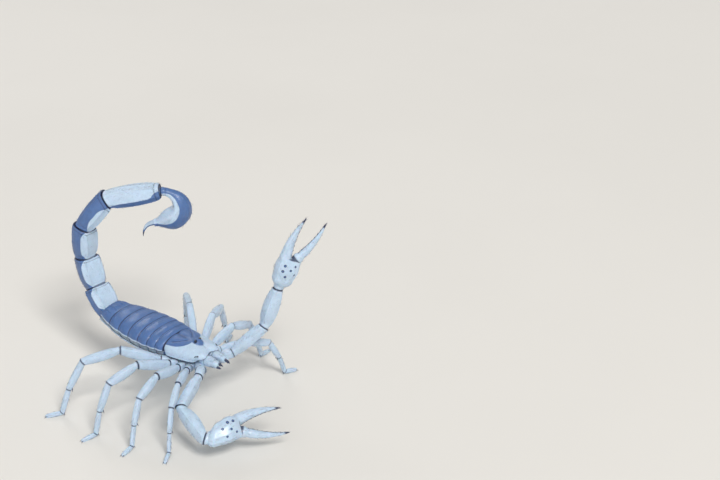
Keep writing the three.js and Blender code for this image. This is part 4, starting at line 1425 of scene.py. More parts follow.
class SCORPION_OT_underside(bpy.types.Operator):
    """Make the hips of the limbs around the breastplate"""

    bl_idname = "scorpion.underside"
    bl_label = "Underside"

    def execute(self, context):
        shape = Shape(17)
        coat = Coat(SEEDS["hip_coat"], 14)

        def below(t, angle):
            return (np.sin(angle) < 0) * 1.0

        for name, side in SIDES.items():
            for leg in range(len(LEGS)):
                after = trochanter_direction(leg, name)
                root, hip = coxa_root(leg, side), hip_point(leg, side)
                surface = coxa(root, hip, LEG_COXA, after)
                shape.limb(surface, 0.0, 0.5 * hump(surface.t, 1.0, 0.05), start=TIP)
                if leg < 2:
                    lobe = jaw_lobe(root, side, leg)
                    shape.limb(lobe, 0.0, 0.25 * hump(lobe.t, 0.97, 0.05), TIP, TIP)
                    coat.grow(lobe, 14, (0.3, 0.7), where=below)
                coat.grow(surface, 26, (0.4, 1.0), where=below)
            root, arm = arm_coxa_root(side), arm_root(side)
            surface = coxa(root, arm, ARM_COXA, arm_directions(name)[0])
            shape.limb(surface, 0.0, 0.5 * hump(surface.t, 1.0, 0.05), start=TIP)
            coat.grow(surface, 40, (0.4, 1.1), where=below)
        for corners, level, hollow in BELLY_PADS:
            surface = belly_pad(corners, level, hollow)
            middle = hump(surface.angle, 0, 0.3) * smooth(surface.t, 0.4, 0.8)
            edge = hump(np.abs(surface.angle), math.pi, 0.3) + middle
            shape.plate(surface, 0.35, 0.0, 0.5 * edge)
        shape.build("hips_and_breastplate", "pale_cuticle", "underside")
        soft = Shape()
        throat_and_floor(soft)
        soft.build("front_skin", "membrane")
        coat.build("hip_bristles")
        return {"FINISHED"}


def comb_frame(side):
    """Root, direction along the stem and direction of the teeth of a comb."""
    root = trunk_point(SEGMENT_LENGTHS[0] * 0.6)
    drop = TRUNK_WIDTHS[1] * TRUNK_BELLY + COMB["thickness"] / 2 + 0.22
    sweep = math.radians(90 - COMB["sweep"])
    along = np.array([side * math.cos(sweep), math.sin(sweep), 0.06])
    teeth = np.array([-side * math.sin(sweep), math.cos(sweep), 0.0])
    return np.array([side * 1.1, root[1] + 0.6, root[2] - drop]), along, teeth


class SCORPION_OT_combs(bpy.types.Operator):
    """Make the two feeler combs under the body"""

    bl_idname = "scorpion.combs"
    bl_label = "Combs"

    def execute(self, context):
        for name, side in SIDES.items():
            shape = Shape(COMB["teeth"] * 2 + 4)
            root, along, teeth = comb_frame(side)
            half = COMB["thickness"] / 2

            def stem_section(t, angle):
                deep = COMB["stem"] * lerp(0.45, 0.24, t) * (1 + 0.04 * np.cos(t * 40))
                return deep, half, half, 2.6

            middle = root - teeth * COMB["stem"] * 0.35
            path = Path(middle, middle + along * COMB["length"])
            stem = tube(path, UP, stem_section, *MESH["comb_stem"])
            shape.limb(stem, 0.0, 0.3 * np.abs(np.sin(stem.t * 9)) ** 12)
            pitch = COMB["length"] / COMB["teeth"]
            for tooth in range(COMB["teeth"]):
                length = COMB["tooth"] * (1 - 0.35 * (tooth / COMB["teeth"]) ** 2)
                base = root + along * pitch * (tooth + 0.62)

                def tooth_section(t, angle):
                    wide = pitch * 0.36 * (0.8 + 0.3 * np.sin(t * 2.6)) * (1 - 0.6 * smooth(t, 0.85, 1.0))
                    return wide, half * 0.62, half * 0.62, 2.2

                path = Path(base - teeth * 0.35, base + teeth * length)
                shape.limb(tube(path, UP, tooth_section, *MESH["comb_tooth"]))
                shape.rings(ball(base - teeth * 0.12 - UP * half * 0.6, pitch * 0.3))
            shape.build(f"comb_{name}", "pale_cuticle", f"pecten_{name}")
        return {"FINISHED"}


# ---- joint skin


def joined_tube(points, directions, part, section, mesh, up=UP):
    """A limb's segment between two joints; its ends lie on the planes that halve the bends.

    The directions start with that of the segment before the first.
    """
    before, own = directions[part : part + 2]
    after = directions[min(part + 2, len(directions) - 1)]
    path = Path(points[part], points[part + 1])
    return tube(path, up, section, *mesh, halving(before, own), halving(own, after))


def girth_section(girths):
    """The outline of a leg or claw limb, higher than wide."""

    def section(t, angle):
        deep = swell(girths, t)
        return deep * 0.42, deep / 2, deep / 2, 2.4

    return section


def joint_skin(shape, joint, before, after, girths, reach, up=UP, square=2.4):
    """A short pleated sleeve of soft skin through a joint."""
    start = joint - unit(before) * reach
    end = joint + unit(after) * reach
    wide, deep = girths

    def section(t, angle):
        pleat = 1 + 0.02 * np.sin(t * 19) - 0.06 * hump(t, 0.5, 0.3)
        return wide * pleat, deep * pleat, deep * pleat, square

    surface = tube(Path(start, joint, end), up, section, *MESH["joint_skin"])
    shape.limb(surface, 0.0, 0.5 * hump(surface.t, 0.5, 0.3))


def limb_skin(shape, points, directions, part, width, shares, reach):
    """The skin of the joint before a segment of a leg or claw limb."""
    girths = (width * shares[0], width * shares[1])
    joint_skin(shape, points[part], directions[part], directions[part + 1], girths, reach)


# ---- tail


TAIL_KEELS = (
    (52, 128, 16, 164, -14, 194, -52, 232, -78, 258),
    (52, 128, 16, 164, -52, 232, -78, 258),
    (52, 128, 14, 166, -52, 232, -78, 258),
    (52, 128, 12, 168, -52, 232, -78, 258),
    (50, 130, 6, 174, -50, 230, 270),
)


SLATE_REACH = (0.32, 0.36, 0.26, 0.08)  # how far the dark side comes round each segment but the last


def tail_ring(shape, index):
    """One segment of the tail: a keeled barrel with rows of grains."""
    _, width, height, _, _ = TAIL[index]
    last = index == len(TAIL) - 1

    def section(t, angle):
        full = swell((0.86, 1, 0.68) if last else (0.8, 1, 0.9), t)
        return width / 2 * full, height * 0.44 * full, height * 0.56 * full, 2.7

    up = TAIL_FRAMES[index][1]
    surface = joined_tube(TAIL_JOINTS, TAIL_DIRECTIONS, index, section, MESH["tail"], up)
    t, angle = surface.t, surface.angle
    inner_run = smooth(t, 0.02, 0.12) * (1 - smooth(t, 0.93, 0.99))
    ridge = 1.3 * keels(angle, TAIL_KEELS[index]) * inner_run
    ridge = ridge * (1 + 0.7 * smooth(t, 0.6, 0.95) * (np.sin(angle) > 0))
    hollow = 1 - keels(angle, TAIL_KEELS[index], 0.3)
    collar = hump(t, 0.965, 0.026) + 0.5 * hump(t, 0.03, 0.02)
    waist = hump(t, 0.085, 0.03) + 0.6 * hump(t, 0.915, 0.02)
    groove = smooth(np.sin(angle), 0.8, 0.98) * smooth(t, 0.05, 0.2)
    relief = 0.62 * millimetres("keel") * ridge + 0.14 * collar - 0.1 * waist - 0.16 * groove - 0.12 * hollow
    surface.raised(relief)
    upward = np.sin(angle)
    if last:
        # Slate on the dorsal side, which faces down in this pose: partly the tail's dark marking, partly
        # painted shade on the underside.
        slate = smooth(upward + 0.5 * smooth(t, 0.78, 1.0) - 0.3 * (1 - smooth(t, 0.0, 0.25)), 0.02, 0.2)
    else:
        rounding = (1 - np.sin(np.pi * np.clip(t, 0, 1))) ** 2
        slate = smooth(0.55 * rounding - upward + SLATE_REACH[index], 0.02, 0.2)
    ink = 0.5 * hump(t, 0.915, 0.016) + 0.9 * hump(t, 0.0, 0.02) + 0.8 * hump(t, 1.0, 0.012) + 0.16 * ridge
    shape.limb(surface, slate, ink)
    rows, columns = surface.lines(TAIL_KEELS[index], 0.07, 0.93, 0.33)
    random = np.random.default_rng(SEEDS["tail_keels"] + index)
    last_row = MESH["tail"][1] - 1
    rows = np.clip(rows + random.normal(0, 0.55, len(rows)), 0, last_row)
    columns = columns + random.normal(0, 0.18, len(rows))
    stout = 1 + 0.5 * smooth(rows / last_row, 0.5, 0.9)
    shape.grains(surface, rows, columns, (0.085 + 0.065 * random.random(len(rows))) * stout, slate, 0.12)

    def between_joints(t, angle):
        return 0.7 * (0.06 < t) * (t < 0.93)

    rows, columns, luck = surface.scattered(0.62, SEEDS["tail"] + index, between_joints)
    shape.grains(surface, rows, columns, 0.05 + 0.06 * luck**2, slate, 0.0)
    return surface


def bulb_path():
    joint = TAIL_JOINTS[-1]
    before, inward = TAIL_FRAMES[-1]
    along, _ = tail_direction(TELSON["pitch"], TELSON["swing"])
    beyond = joint + before * TELSON_BEND["reach"]
    turned = beyond + before * TELSON_BEND["turn"] + inward * TELSON_BEND["inward"]
    return Path(joint, beyond, turned, turned + along * TELSON["length"])


def bulb_surface():
    along, dorsal = tail_direction(TELSON["pitch"], TELSON["swing"])

    def section(t, angle):
        full = smooth(t, 0.1, 0.54) * (1 - 0.95 * smooth(t, 0.6, 1) ** 1.2)
        crest = smooth(t, 0.4, 0.7) * (1 - 0.95 * smooth(t, 0.7, 1) ** 1.2)
        wide = lerp(TELSON["neck"], TELSON["width"] / 2, full)
        top = lerp(TELSON["neck"] * 0.85, TELSON["back"], crest) * (1 - 0.35 * smooth(t, 0.8, 1))
        return wide, top, lerp(TELSON["neck"] * 0.85, TELSON["belly"], full), 2.0

    surface = tube(bulb_path(), dorsal, section, *MESH["bulb"], width_axis=np.cross(along, dorsal))
    t, angle = surface.t, surface.angle
    below = smooth(-np.sin(angle), -0.1, 0.6)
    ridge = keels(angle, (-90, -62, -118), 0.1) * smooth(t, 0.2, 0.35) * (1 - smooth(t, 0.66, 0.82))
    rough = grains(t, angle, bulb_path().length, 20.0, 0.8, SEEDS["bulb_relief"]) * below
    groove = near(angle, -76, 0.07) + near(angle, -104, 0.07)
    collar = hump(t, 0.035, 0.022) + 0.5 * hump(t, 0.11, 0.02)
    rough = 0.05 * rough * smooth(t, 0.2, 0.35) - 0.07 * groove * smooth(t, 0.25, 0.4)
    surface.raised(0.11 * ridge + rough + 0.12 * collar - 0.05 * hump(t, 0.95, 0.03))
    # Slate on the lower half of the bulb, which faces down, and round its ends: painted shade on the
    # underside, together with the dark marking at the ends.
    slate = smooth(0.25 * smooth(t, 0.75, 1.0) + 0.3 * (1 - smooth(t, 0.0, 0.2)) - np.sin(angle), 0.0, 0.5)
    ink = 0.45 * hump(t, 0.085, 0.012) + 0.7 * hump(t, 0.0, 0.02) + 0.2 * ridge + 0.25 * hump(t, 1.0, 0.02)
    return surface, slate, ink


def sting_surface():
    path = bulb_path()
    start = path.at(np.ones(1))[0]
    along = path.tangent(np.ones(1))[0]
    straight, dorsal = tail_direction(TELSON["pitch"], TELSON["swing"])
    hook = math.radians(STING["hook"])
    turned = unit(along * math.cos(hook) - dorsal * math.sin(hook))
    control = start + along * STING["length"] * 0.5
    tip = control + turned * STING["length"] * 0.55

    def section(t, angle):
        radius = lerp(STING["radius"], STING["tip"], t**0.8)
        return radius, radius * (0.7 + 0.3 * smooth(t, 0.0, 0.4)), radius, 2.0

    path = Path(start - along * 0.25, control, tip)
    surface = tube(path, dorsal, section, *MESH["sting"], width_axis=np.cross(straight, dorsal))
    t, angle = surface.t, surface.angle
    surface.raised(0.04 * near(angle, 90, 0.25) * (1 - t))
    # Slate on the lower side of the sting, which faces down, is painted shade; the slate towards the tip is
    # the sting's own dark colour.
    slate = smooth(-np.sin(angle), -0.1, 0.5) + 0.8 * smooth(t, 0.45, 0.8)
    return surface, slate, smooth(t, 0.55, 0.92)


class SCORPION_OT_tail(bpy.types.Operator):
    """Make the five keeled segments of the tail, the venom bulb and the sting"""

    bl_idname = "scorpion.tail"
    bl_label = "Tail"

    def execute(self, context):
        coat = Coat(SEEDS["tail_coat"], len(TAIL) + 2)
        skin = Shape(len(TAIL) + 1)

        def flanks_and_belly(t, angle):
            return 0.35 + smooth(-np.sin(angle), -0.4, 0.6)

        for index, (length, width, height, _, _) in enumerate(TAIL):
            shape = Shape()
            surface = tail_ring(shape, index)
            shape.build(f"tail_ring_{index + 1}", "dark_cuticle", f"tail_segment_{index + 1}")
            coat.grow(surface, round(length * 12), (0.4, 1.3), lean=1.5, where=flanks_and_belly)
            before, after = TAIL_DIRECTIONS[index : index + 2]
            girths, dorsal = (width * 0.385, height * 0.39), TAIL_FRAMES[index][1]
            joint_skin(skin, TAIL_JOINTS[index], before, after, girths, 0.9, dorsal, 2.7)
        bulb = Shape()
        surface, slate, ink = bulb_surface()
        bulb.limb(surface, slate, ink)

        def underneath(t, angle):
            return 0.8 * (np.sin(angle) < 0) * (0.2 < t) * (t < 0.8)

        rows, columns, luck = surface.scattered(0.5, SEEDS["bulb"], underneath)
        bulb.grains(surface, rows, columns, 0.06 + 0.07 * luck**2, slate, 0.0)
        bulb.build("venom_bulb_shell", "dark_cuticle", "venom_bulb")

        def below_the_neck(t, angle):
            return smooth(t, 0.15, 0.35) * flanks_and_belly(t, angle)

        coat.grow(surface, 200, (0.4, 1.4), lean=1.5, where=below_the_neck)
        neck = TELSON["neck"]
        after = bulb_path().tangent(np.zeros(1))[0]
        joint_skin(skin, TAIL_JOINTS[-1], TAIL_DIRECTIONS[-1], after, (neck * 0.9, neck * 0.8), 0.9)
        skin.build("tail_joint_skin", "membrane")
        hook = Shape()
        surface, slate, ink = sting_surface()
        hook.limb(surface, slate, ink, end=TIP)
        hook.build("sting_hook", "hard_tips", "sting")
        coat.build("tail_bristles")
        return {"FINISHED"}


# ---- legs


def leg_joints(leg, side_name):
    """Joints of a leg and directions from its coxa on.

    The femur's pitch is the one that sets the sole on the floor.
    """
    _, lengths, _ = LEGS[leg]
    side = SIDES[side_name]
    _, *pose = LEG_POSES[side_name][leg]
    pitches = np.radians([HIP["trochanter_pitch"], 0, *pose, TARSUS["pitch"]])
    hip = hip_point(leg, side)
    others = [i for i in range(len(lengths)) if i != 1]
    rest = TARSUS["toe_height"] - hip[2] - sum(lengths[i] * math.sin(pitches[i]) for i in others)
    pitches[1] = math.asin(rest / lengths[1])
    heading = leg_heading(leg, side_name)
    directions = [heading * math.cos(pitch) + UP * math.sin(pitch) for pitch in pitches]
    return chained(hip, directions, lengths), [unit(hip - coxa_root(leg, side)), *directions]


LEG_KEELS = ((40, 140), (48, 132, -50, 230), (50, 130, -48, 228), (60, 120), (90,), (90,))


def leg_part(points, directions, part, girths):
    surface = joined_tube(points, directions, part, girth_section(girths), MESH["leg"])
    t = surface.t
    ridge = 1.2 * keels(surface.angle, LEG_KEELS[part], 0.16)
    ridge = ridge * smooth(t, 0.05, 0.2) * (1 - smooth(t, 0.85, 0.97))
    collar = hump(t, 0.97, 0.03) + 0.4 * hump(t, 0.03, 0.03)
    return surface.raised(girths[1] * (0.035 * ridge + 0.035 * collar - 0.02 * hump(t, 0.1, 0.04)))


def toe_claws(shape, toe, heading):
    """The two curved claws at the end of a foot."""
    across = np.cross(heading, UP)
    roots = np.array([toe + across * step + UP * 0.12 for step in (-0.3, 0.3)])
    heads = np.array([heading + across * step * 0.5 + UP * 0.42 for step in (-0.5, 0.5)])
    roots = roots - unit(heads) * 0.2
    bends = np.array([UP * -0.72] * 2)
    claw = [(along, 1 - 0.85 * along**1.3) for along in np.linspace(0, 1, 9)]
    shape.spikes(roots, heads, 1.35, 0.2, bends, shape.row_places(2, 0.3), claw, 10, 0.3)


def leg_spurs(shape, surface, size):
    """Two short spurs under the end of a leg part."""
    row = int(0.95 * (len(surface.points) - 1))
    columns = [int(surface.points.shape[1] * share) for share in (0.66, 0.84)]
    heads = surface.normals[row, columns] * 0.7 + surface.along[row, columns]
    roots = surface.points[row, columns] - unit(heads) * 0.15
    shape.spikes(roots, heads, size, size * 0.17, heads * 0, shape.row_places(2, 0.3), SPIKE, 8, 0.3, 0.75)


class SCORPION_OT_legs(bpy.types.Operator):
    """Make the eight walking legs with their spurs, toe claws and joint skin"""

    bl_idname = "scorpion.legs"
    bl_label = "Legs"

    def execute(self, context):
        for side_name, side in SIDES.items():
            coat = Coat(SEEDS["leg_coat"] + side, 6 * len(LEGS))
            skin = Shape(6 * len(LEGS))
            for leg, (_, lengths, girth) in enumerate(LEGS):
                points, directions = leg_joints(leg, side_name)
                girths = [*(np.array(LEG_GIRTHS) * girth), TARSUS["girths"]]
                for node, parts in LEG_NODES:
                    shape = Shape(5)
                    for part in parts:
                        surface = leg_part(points, directions, part, girths[part])
                        if part == 5:
                            surface.points[..., 2] = np.maximum(surface.points[..., 2], 0.0)
                        ink = 0.8 * hump(surface.t, 1.0, 0.03) * (part < 5)
                        ink = ink + 0.6 * hump(surface.t, 0.0, 0.025)
                        shape.limb(surface, 0.0, ink, end=TIP if part == 5 else LIP)
                        if part in (1, 2, 3):
                            rows, columns = surface.lines(LEG_KEELS[part], 0.1, 0.9, 0.42)
                            shape.grains(surface, rows, columns, 0.075, 0.0, 0.1)
                        count = round(lengths[part] * (4 if part < 3 else 7))
                        coat.grow(surface, count, (0.35, 1.1), lean=1.6)
                        limb_skin(skin, points, directions, part, girths[part][0], (0.36, 0.43), 0.6)
                        if part in (3, 4):
                            leg_spurs(shape, surface, 1.1 if part == 3 else 0.8)
                    if node == "foot":
                        toe_claws(shape, points[-1] - directions[-1] * 0.2, leg_heading(leg, side_name))
                    cad_node = f"leg{leg + 1}_{side_name}_{node}"
                    shape.build(f"{cad_node}_shell", "pale_cuticle", cad_node)
            skin.build(f"leg_joint_skin_{side_name}", "membrane")
            coat.build(f"leg_bristles_{side_name}")
        return {"FINISHED"}


# ---- claw limbs


def arm_joints(side_name):
    side = SIDES[side_name]
    directions = arm_directions(side_name)
    lengths = [ARM_LENGTHS[part] for part in ARM_PARTS]
    root = arm_root(side)
    return chained(root, directions, lengths), [unit(root - arm_coxa_root(side)), *directions]


def arm_part(shape, points, directions, part, girths):
    surface = joined_tube(points, directions, part, girth_section(girths), MESH["arm"])
    t, angle = surface.t, surface.angle
    inner = smooth(t, 0.05, 0.18) * (1 - smooth(t, 0.86, 0.96))
    places = (48, 132, -46, 226) if part else (60, 120)
    ridge = 1.3 * keels(angle, places, 0.12) * inner
    hollow = 1 - keels(angle, places, 0.5)
    collar = hump(t, 0.965, 0.028) + 0.4 * hump(t, 0.03, 0.03)
    surface.raised(0.15 * ridge + 0.13 * collar - 0.1 * hump(t, 0.1, 0.04) - 0.1 * hollow * inner)
    ink = 0.8 * hump(t, 1.0, 0.02) + 0.6 * hump(t, 0.0, 0.02) + 0.08 * ridge
    shape.limb(surface, 0.0, ink)
    if part:
        rows, columns = surface.lines(places, 0.09, 0.92, 0.46)
        random = np.random.default_rng(SEEDS["arm_keels"] + part)
        shape.grains(surface, rows, columns, 0.11 + 0.04 * random.random(len(rows)), 0.0, 0.15)

        def between_joints(t, angle):
            return 0.5 * (0.1 < t) * (t < 0.9)

        rows, columns, luck = surface.scattered(0.75, SEEDS["arm"] + part, between_joints)
        shape.grains(surface, rows, columns, 0.04 + 0.05 * luck**2, 0.0, 0.0)
    return surface


def stepped(values, share):
    """Values at even places, joined by half waves."""
    place = np.clip(share, 0, 0.9999) * (len(values) - 1)
    index = np.floor(place).astype(int)
    ease = (1 - np.cos(np.pi * (place - index))) / 2
    values = np.array(values)
    return lerp(values[index], values[np.minimum(index + 1, len(values) - 1)], ease)


HAND_KEELS = (38, 142, -38, 218, 68, -68)
DOTS = (  # share of the palm, degrees round it, radius
    (0.5, 96, 0.44),
    (0.61, 60, 0.38),
    (0.65, 116, 0.48),
    (0.73, 82, 0.4),
    (0.82, 106, 0.46),
    (0.85, 58, 0.38),
)
DOT_PROFILE = ((-0.1, 1.0), (0.08, 0.95), (0.12, 0.72), (0.1, 0.5), (0.12, 0.1))
DOT_INK = np.array([[1.0, 1.0, 0.9, 0.25, 0.2]])


def hand(shape, points, directions, side_name):
    """The palm and the fixed finger as one surface, its rings square to the palm's axis."""
    axis = directions[4]
    outer = unit_across(ARM_POSES[side_name]["outer"], axis)
    face = np.cross(outer, axis)
    palm, finger = ARM_LENGTHS["palm"], FINGER_LENGTHS["fixed"]
    sink = HAND["fixed_sink"]
    total = palm - sink + finger
    near_step = 0.35 * np.tanh(np.linspace(-3, 3, 24)) / np.tanh(3.0)
    before_step, after_step = np.linspace(0, palm - 0.7, 56), np.linspace(palm + 0.5, total, 64)
    stations = np.concatenate([before_step, palm - 0.1 + near_step, after_step])
    s = stations[:, None]
    t = s / total
    angle = around(92)
    share = np.clip(s / palm, 0, 1)
    u = np.clip((s - palm + sink) / finger, 0, 1)
    root, bow = -HAND["fixed_root"], HAND["bow"]
    finger_middle = root * (1 - u) ** 2 + (root - bow * 0.9) * 2 * u * (1 - u) + (root + bow * 0.75) * u**2
    joined = smooth(s, palm * 0.62, palm)
    middle = lerp(0.0, finger_middle, joined)
    half_width = stepped(HAND["widths"], share)
    finger_half = lerp(HAND["fixed_half_width"], HAND["tip_half_width"], u**1.25)
    step = smooth(s, palm - 0.45, palm + 0.25)
    outer_reach = lerp(half_width - middle, finger_half, step)
    inner_reach = lerp(half_width + middle, finger_half, smooth(s, palm * 0.75, palm))
    thinning = smooth(s, palm * 0.86, palm + 0.9)
    thickness = lerp(stepped(HAND["thicknesses"], share), finger_half * 0.85, thinning)
    power = 2 / lerp(2.3, 2.0, step)
    reach = np.where(np.cos(angle) > 0, outer_reach, inner_reach)
    across = reach * signed_power(np.cos(angle), power) + middle
    height = thickness * signed_power(np.sin(angle), power)
    start = halving(directions[3], axis)
    offset = across[..., None] * outer + height[..., None] * face
    shift = (SEAM / 2 - offset @ start) / (axis @ start) * (1 - share)
    place = points[3] + axis * (s * (1 - GAP / total / 4))[..., None]
    surface = Surface(place + offset + axis * shift[..., None], t, angle)
    inner = smooth(s, 0.8, 2.4) * (1 - smooth(s, palm * 0.8, palm * 0.97))
    ridge = 1.3 * keels(angle, HAND_KEELS) * inner
    relief = 0.13 * ridge + 0.14 * hump(s, 0.5, 0.35) - 0.1 * hump(s, 1.3, 0.4)
    surface.raised(relief + 0 * angle)
    tip = smooth(u, 0.84, 0.97) * (s > palm)
    socket = hump(s, palm - 0.05, 0.3) * smooth(np.cos(angle), 0.0, 0.5)
    ink = tip + 0.7 * hump(s, 0.0, 0.3) + 0.7 * socket + 0.06 * ridge
    shape.limb(surface, 0.0, ink, end=TIP)
    rows = np.interp([along * palm for along, _, _ in DOTS], stations, np.arange(len(stations)))
    columns = np.array([around_at / 360 * 92 for _, around_at, _ in DOTS])
    roots, normals = surface.spot(rows, columns)
    radii = np.array([size for _, _, size in DOTS])
    places = shape.row_places(len(DOTS))
    shape.spikes(roots, normals, radii, radii, normals * 0, places, DOT_PROFILE, 20, 1.0, DOT_INK)
    shape.grains(surface, *surface.lines(HAND_KEELS, 0.06, 0.36, 0.5), 0.1, 0.0, 0.1)
    return surface, (axis, outer, face)


def unit_across(direction, axis):
    """The part of a direction that is square to an axis."""
    direction = unit(direction)
    return unit(direction - axis * (direction @ axis))


def off_the_hinge(t, angle):
    return 1.0 - 0.8 * hump(t, 0.44, 0.04)


def movable_finger(points, axes, side_name):
    axis, outer, face = axes
    opening = math.radians(ARM_POSES[side_name]["opening"])
    heading = axis * math.cos(opening) + outer * math.sin(opening)
    inward = -outer * math.cos(opening) + axis * math.sin(opening)
    root = points[4] + axis * GAP + outer * HAND["movable_root"]
    length, bow = FINGER_LENGTHS["movable"], HAND["bow"]
    knuckle = root + heading * length * 0.5 - inward * bow * 0.9
    tip = root + heading * length + inward * bow * 0.75

    def section(t, angle):
        size = lerp(HAND["movable_half_width"], HAND["tip_half_width"], t**1.25)
        size = size * (1 + 0.1 * hump(t, 0.06, 0.05) - 0.1 * hump(t, 0.15, 0.05))
        return size, size * 0.85, size * 0.85, 2.0

    sunk = root - heading * 0.75 + outer * 0.1
    surface = tube(Path(sunk, knuckle, tip), face, section, *MESH["finger"])
    ink = smooth(surface.t, 0.84, 0.97) + 0.7 * (1 - smooth(surface.t, 0.02, 0.06))
    return surface, ink, root, heading


class SCORPION_OT_claws(bpy.types.Operator):
    """Make the two claw limbs with their toothed fingers"""

    bl_idname = "scorpion.claws"
    bl_label = "Claw limbs"

    def execute(self, context):
        for side_name, side in SIDES.items():
            coat = Coat(SEEDS["arm_coat"] + side, 6)
            skin = Shape(5)
            points, directions = arm_joints(side_name)
            for part, name in enumerate(ARM_PARTS[:-1]):
                shape = Shape()
                surface = arm_part(shape, points, directions, part, ARM_GIRTHS[name])
                node = f"claw_{side_name}_{name}"
                shape.build(f"{node}_shell", "pale_cuticle", node)
                coat.grow(surface, round(ARM_LENGTHS[name] * 9), (0.4, 1.2), lean=1.6)
                limb_skin(skin, points, directions, part, ARM_GIRTHS[name][0], (0.35, 0.43), 0.8)
            limb_skin(skin, points, directions, 3, HAND["widths"][0] * 2, (0.4, 0.42), 0.8)
            shape = Shape(3)
            surface, axes = hand(shape, points, directions, side_name)
            add_teeth(shape, surface, 0, 0.52, 0.97, 60, 0.12, 0.1, every=7)
            node = f"claw_{side_name}_palm"
            shape.build(f"{node}_shell", "pale_cuticle", node)
            coat.grow(surface, 300, (0.4, 1.3), lean=1.6, where=off_the_hinge)
            finger, ink, root, heading = movable_finger(points, axes, side_name)
            shape = Shape(3)
            shape.limb(finger, 0.0, ink, TIP, TIP)
            add_teeth(shape, finger, 180, 0.14, 0.96, 60, 0.12, 0.1, every=7)
            node = f"claw_{side_name}_movable_finger"
            shape.build(f"{node}_shell", "pale_cuticle", node)
            coat.grow(finger, 140, (0.35, 1.0), lean=1.6)
            joint_skin(skin, root, axes[0], heading, (1.3, 1.1), 0.7)
            skin.build(f"claw_joint_skin_{side_name}", "membrane")
            coat.build(f"claw_bristles_{side_name}")
        return {"FINISHED"}


# ---- studio


PICTURE_SIZE = (720, 480)
BODY_CENTRE_PIXEL = (170, 311)  # where the middle of the animal's box falls in the picture
SENSOR_WIDTH = 36.0
FLOOR_REACH = 6.0
WORLD_STRENGTH = 0.38
LIGHTS = (  # name, setting of its power, place, size, colour
    ("key_light", "key_light", (-1.0, -2.0, 2.8), 1.12, (1.0, 0.98, 0.95)),
    ("fill_light", "fill_light", (-3.0, -0.4, 1.2), 2.4, (0.93, 0.96, 1.0)),
    ("rim_light", "fill_light", (1.4, 2.4, 2.0), 1.6, (1.0, 1.0, 1.0)),
)


def aim_camera(camera, settings, target):
    """Stands the camera on the line of view and turns it until the target falls on its pixel."""
    pixels_per_unit = settings.lens / SENSOR_WIDTH * PICTURE_SIZE[0]
    right = (BODY_CENTRE_PIXEL[0] - PICTURE_SIZE[0] / 2) / pixels_per_unit
    up = (PICTURE_SIZE[1] / 2 - BODY_CENTRE_PIXEL[1]) / pixels_per_unit
    stretch = math.sqrt(1 + right**2 + up**2)
    tilt = math.atan(up) + math.asin(math.sin(settings.elevation) * stretch / math.sqrt(1 + up**2))
    turn = settings.azimuth - math.atan2(-right, math.cos(tilt) - up * math.sin(tilt))
    level = math.cos(settings.elevation)
    toward = Vector((math.sin(settings.azimuth), -math.cos(settings.azimuth), 0)) * level
    toward.z = math.sin(settings.elevation)
    distance = pixels_per_unit / settings.scale * MM
    camera.location = target + toward * distance * stretch
    camera.rotation_euler = (math.pi / 2 - tilt, 0, turn)


def area_light(name, place, target, power, size, colour):
    data = bpy.data.lights.new(name, "AREA")
    data.energy = power
    data.size = size
    data.color = colour
    light = placed(name, data)
    light.location = place
    light.rotation_euler = (target - light.location).to_track_quat("-Z", "Y").to_euler()


def floor_material():
    colour = bpy.context.scene.scorpion_colours.floor

    def wire(tree, shader):
        cloud = tree.ranged(tree.noise(6.0, 4.0), 0.3, 0.7)
        mixed = tree.mix(cloud, rgba(colour), rgba(colour, 0.97))
        tree.fill(shader, Base_Color=mixed, Roughness=tree.ranged(cloud, 0.0, 1.0, 0.7, 0.8))

    return material("Studio floor", colour, wire)


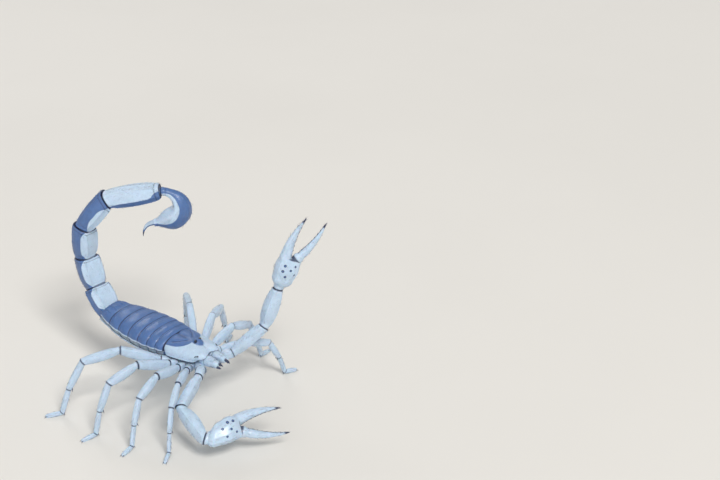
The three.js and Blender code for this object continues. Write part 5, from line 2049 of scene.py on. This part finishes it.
class SCORPION_OT_studio(bpy.types.Operator):
    """Set up the floor, the soft lights and the camera"""

    bl_idname = "scorpion.studio"
    bl_label = "Studio"

    def execute(self, context):
        settings = context.scene.scorpion_studio
        low, high = cad_box
        target = (low + high) / 2
        floor_mesh = bpy.data.meshes.new("studio_floor")
        corners = [(x * FLOOR_REACH, y * FLOOR_REACH, 0) for x, y in ((-1, -1), (1, -1), (1, 1), (-1, 1))]
        floor_mesh.from_pydata(corners, [], [(0, 1, 2, 3)])
        floor_mesh.materials.append(floor_material())
        placed("studio_floor", floor_mesh)
        camera_data = bpy.data.cameras.new("studio_camera")
        camera_data.lens = settings.lens
        camera_data.sensor_width = SENSOR_WIDTH
        camera_data.clip_start = 0.01
        camera = placed("studio_camera", camera_data)
        aim_camera(camera, settings, target)
        context.scene.camera = camera
        for name, power, place, size, colour in LIGHTS:
            area_light(name, Vector(place), target, getattr(settings, power), size, colour)
        world = bpy.data.worlds.new("studio_world")
        world.use_nodes = True
        background = world.node_tree.nodes["Background"]
        background.inputs["Color"].default_value = (0.95, 0.95, 0.95, 1)
        background.inputs["Strength"].default_value = WORLD_STRENGTH
        context.scene.world = world
        context.scene.view_settings.view_transform = "Standard"
        return {"FINISHED"}


# ---- panel and run


class SCORPION_PT_panel(bpy.types.Panel):
    """Buttons for the pieces of the scorpion"""

    bl_idname = "SCORPION_PT_panel"
    bl_label = "Desert scorpion"
    bl_space_type = "VIEW_3D"
    bl_region_type = "UI"
    bl_category = "Scorpion"

    def draw(self, context):
        layout = self.layout
        for group_name in SETTINGS:
            settings = getattr(context.scene, group_name)
            box = layout.box()
            for name in settings.__annotations__:
                box.prop(settings, name)
        for operator in OPERATORS:
            layout.operator(operator.bl_idname)


SETTINGS = {
    "scorpion_sizes": ScorpionSizes,
    "scorpion_colours": ScorpionColours,
    "scorpion_studio": StudioSettings,
}
OPERATORS = (
    SCORPION_OT_carapace,
    SCORPION_OT_eyes,
    SCORPION_OT_chelicerae,
    SCORPION_OT_underside,
    SCORPION_OT_combs,
    SCORPION_OT_trunk,
    SCORPION_OT_tail,
    SCORPION_OT_claws,
    SCORPION_OT_legs,
    SCORPION_OT_studio,
)


CLASSES = (*SETTINGS.values(), *OPERATORS, SCORPION_PT_panel)


def register():
    for one in CLASSES:
        bpy.utils.register_class(one)
    for name, group in SETTINGS.items():
        setattr(bpy.types.Scene, name, PointerProperty(type=group))


def unregister():
    for name in SETTINGS:
        delattr(bpy.types.Scene, name)
    for one in reversed(CLASSES):
        bpy.utils.unregister_class(one)


def main():
    register()
    for operator in OPERATORS:
        category, name = operator.bl_idname.split(".")
        getattr(getattr(bpy.ops, category), name)()


if __name__ == "__main__":
    main()
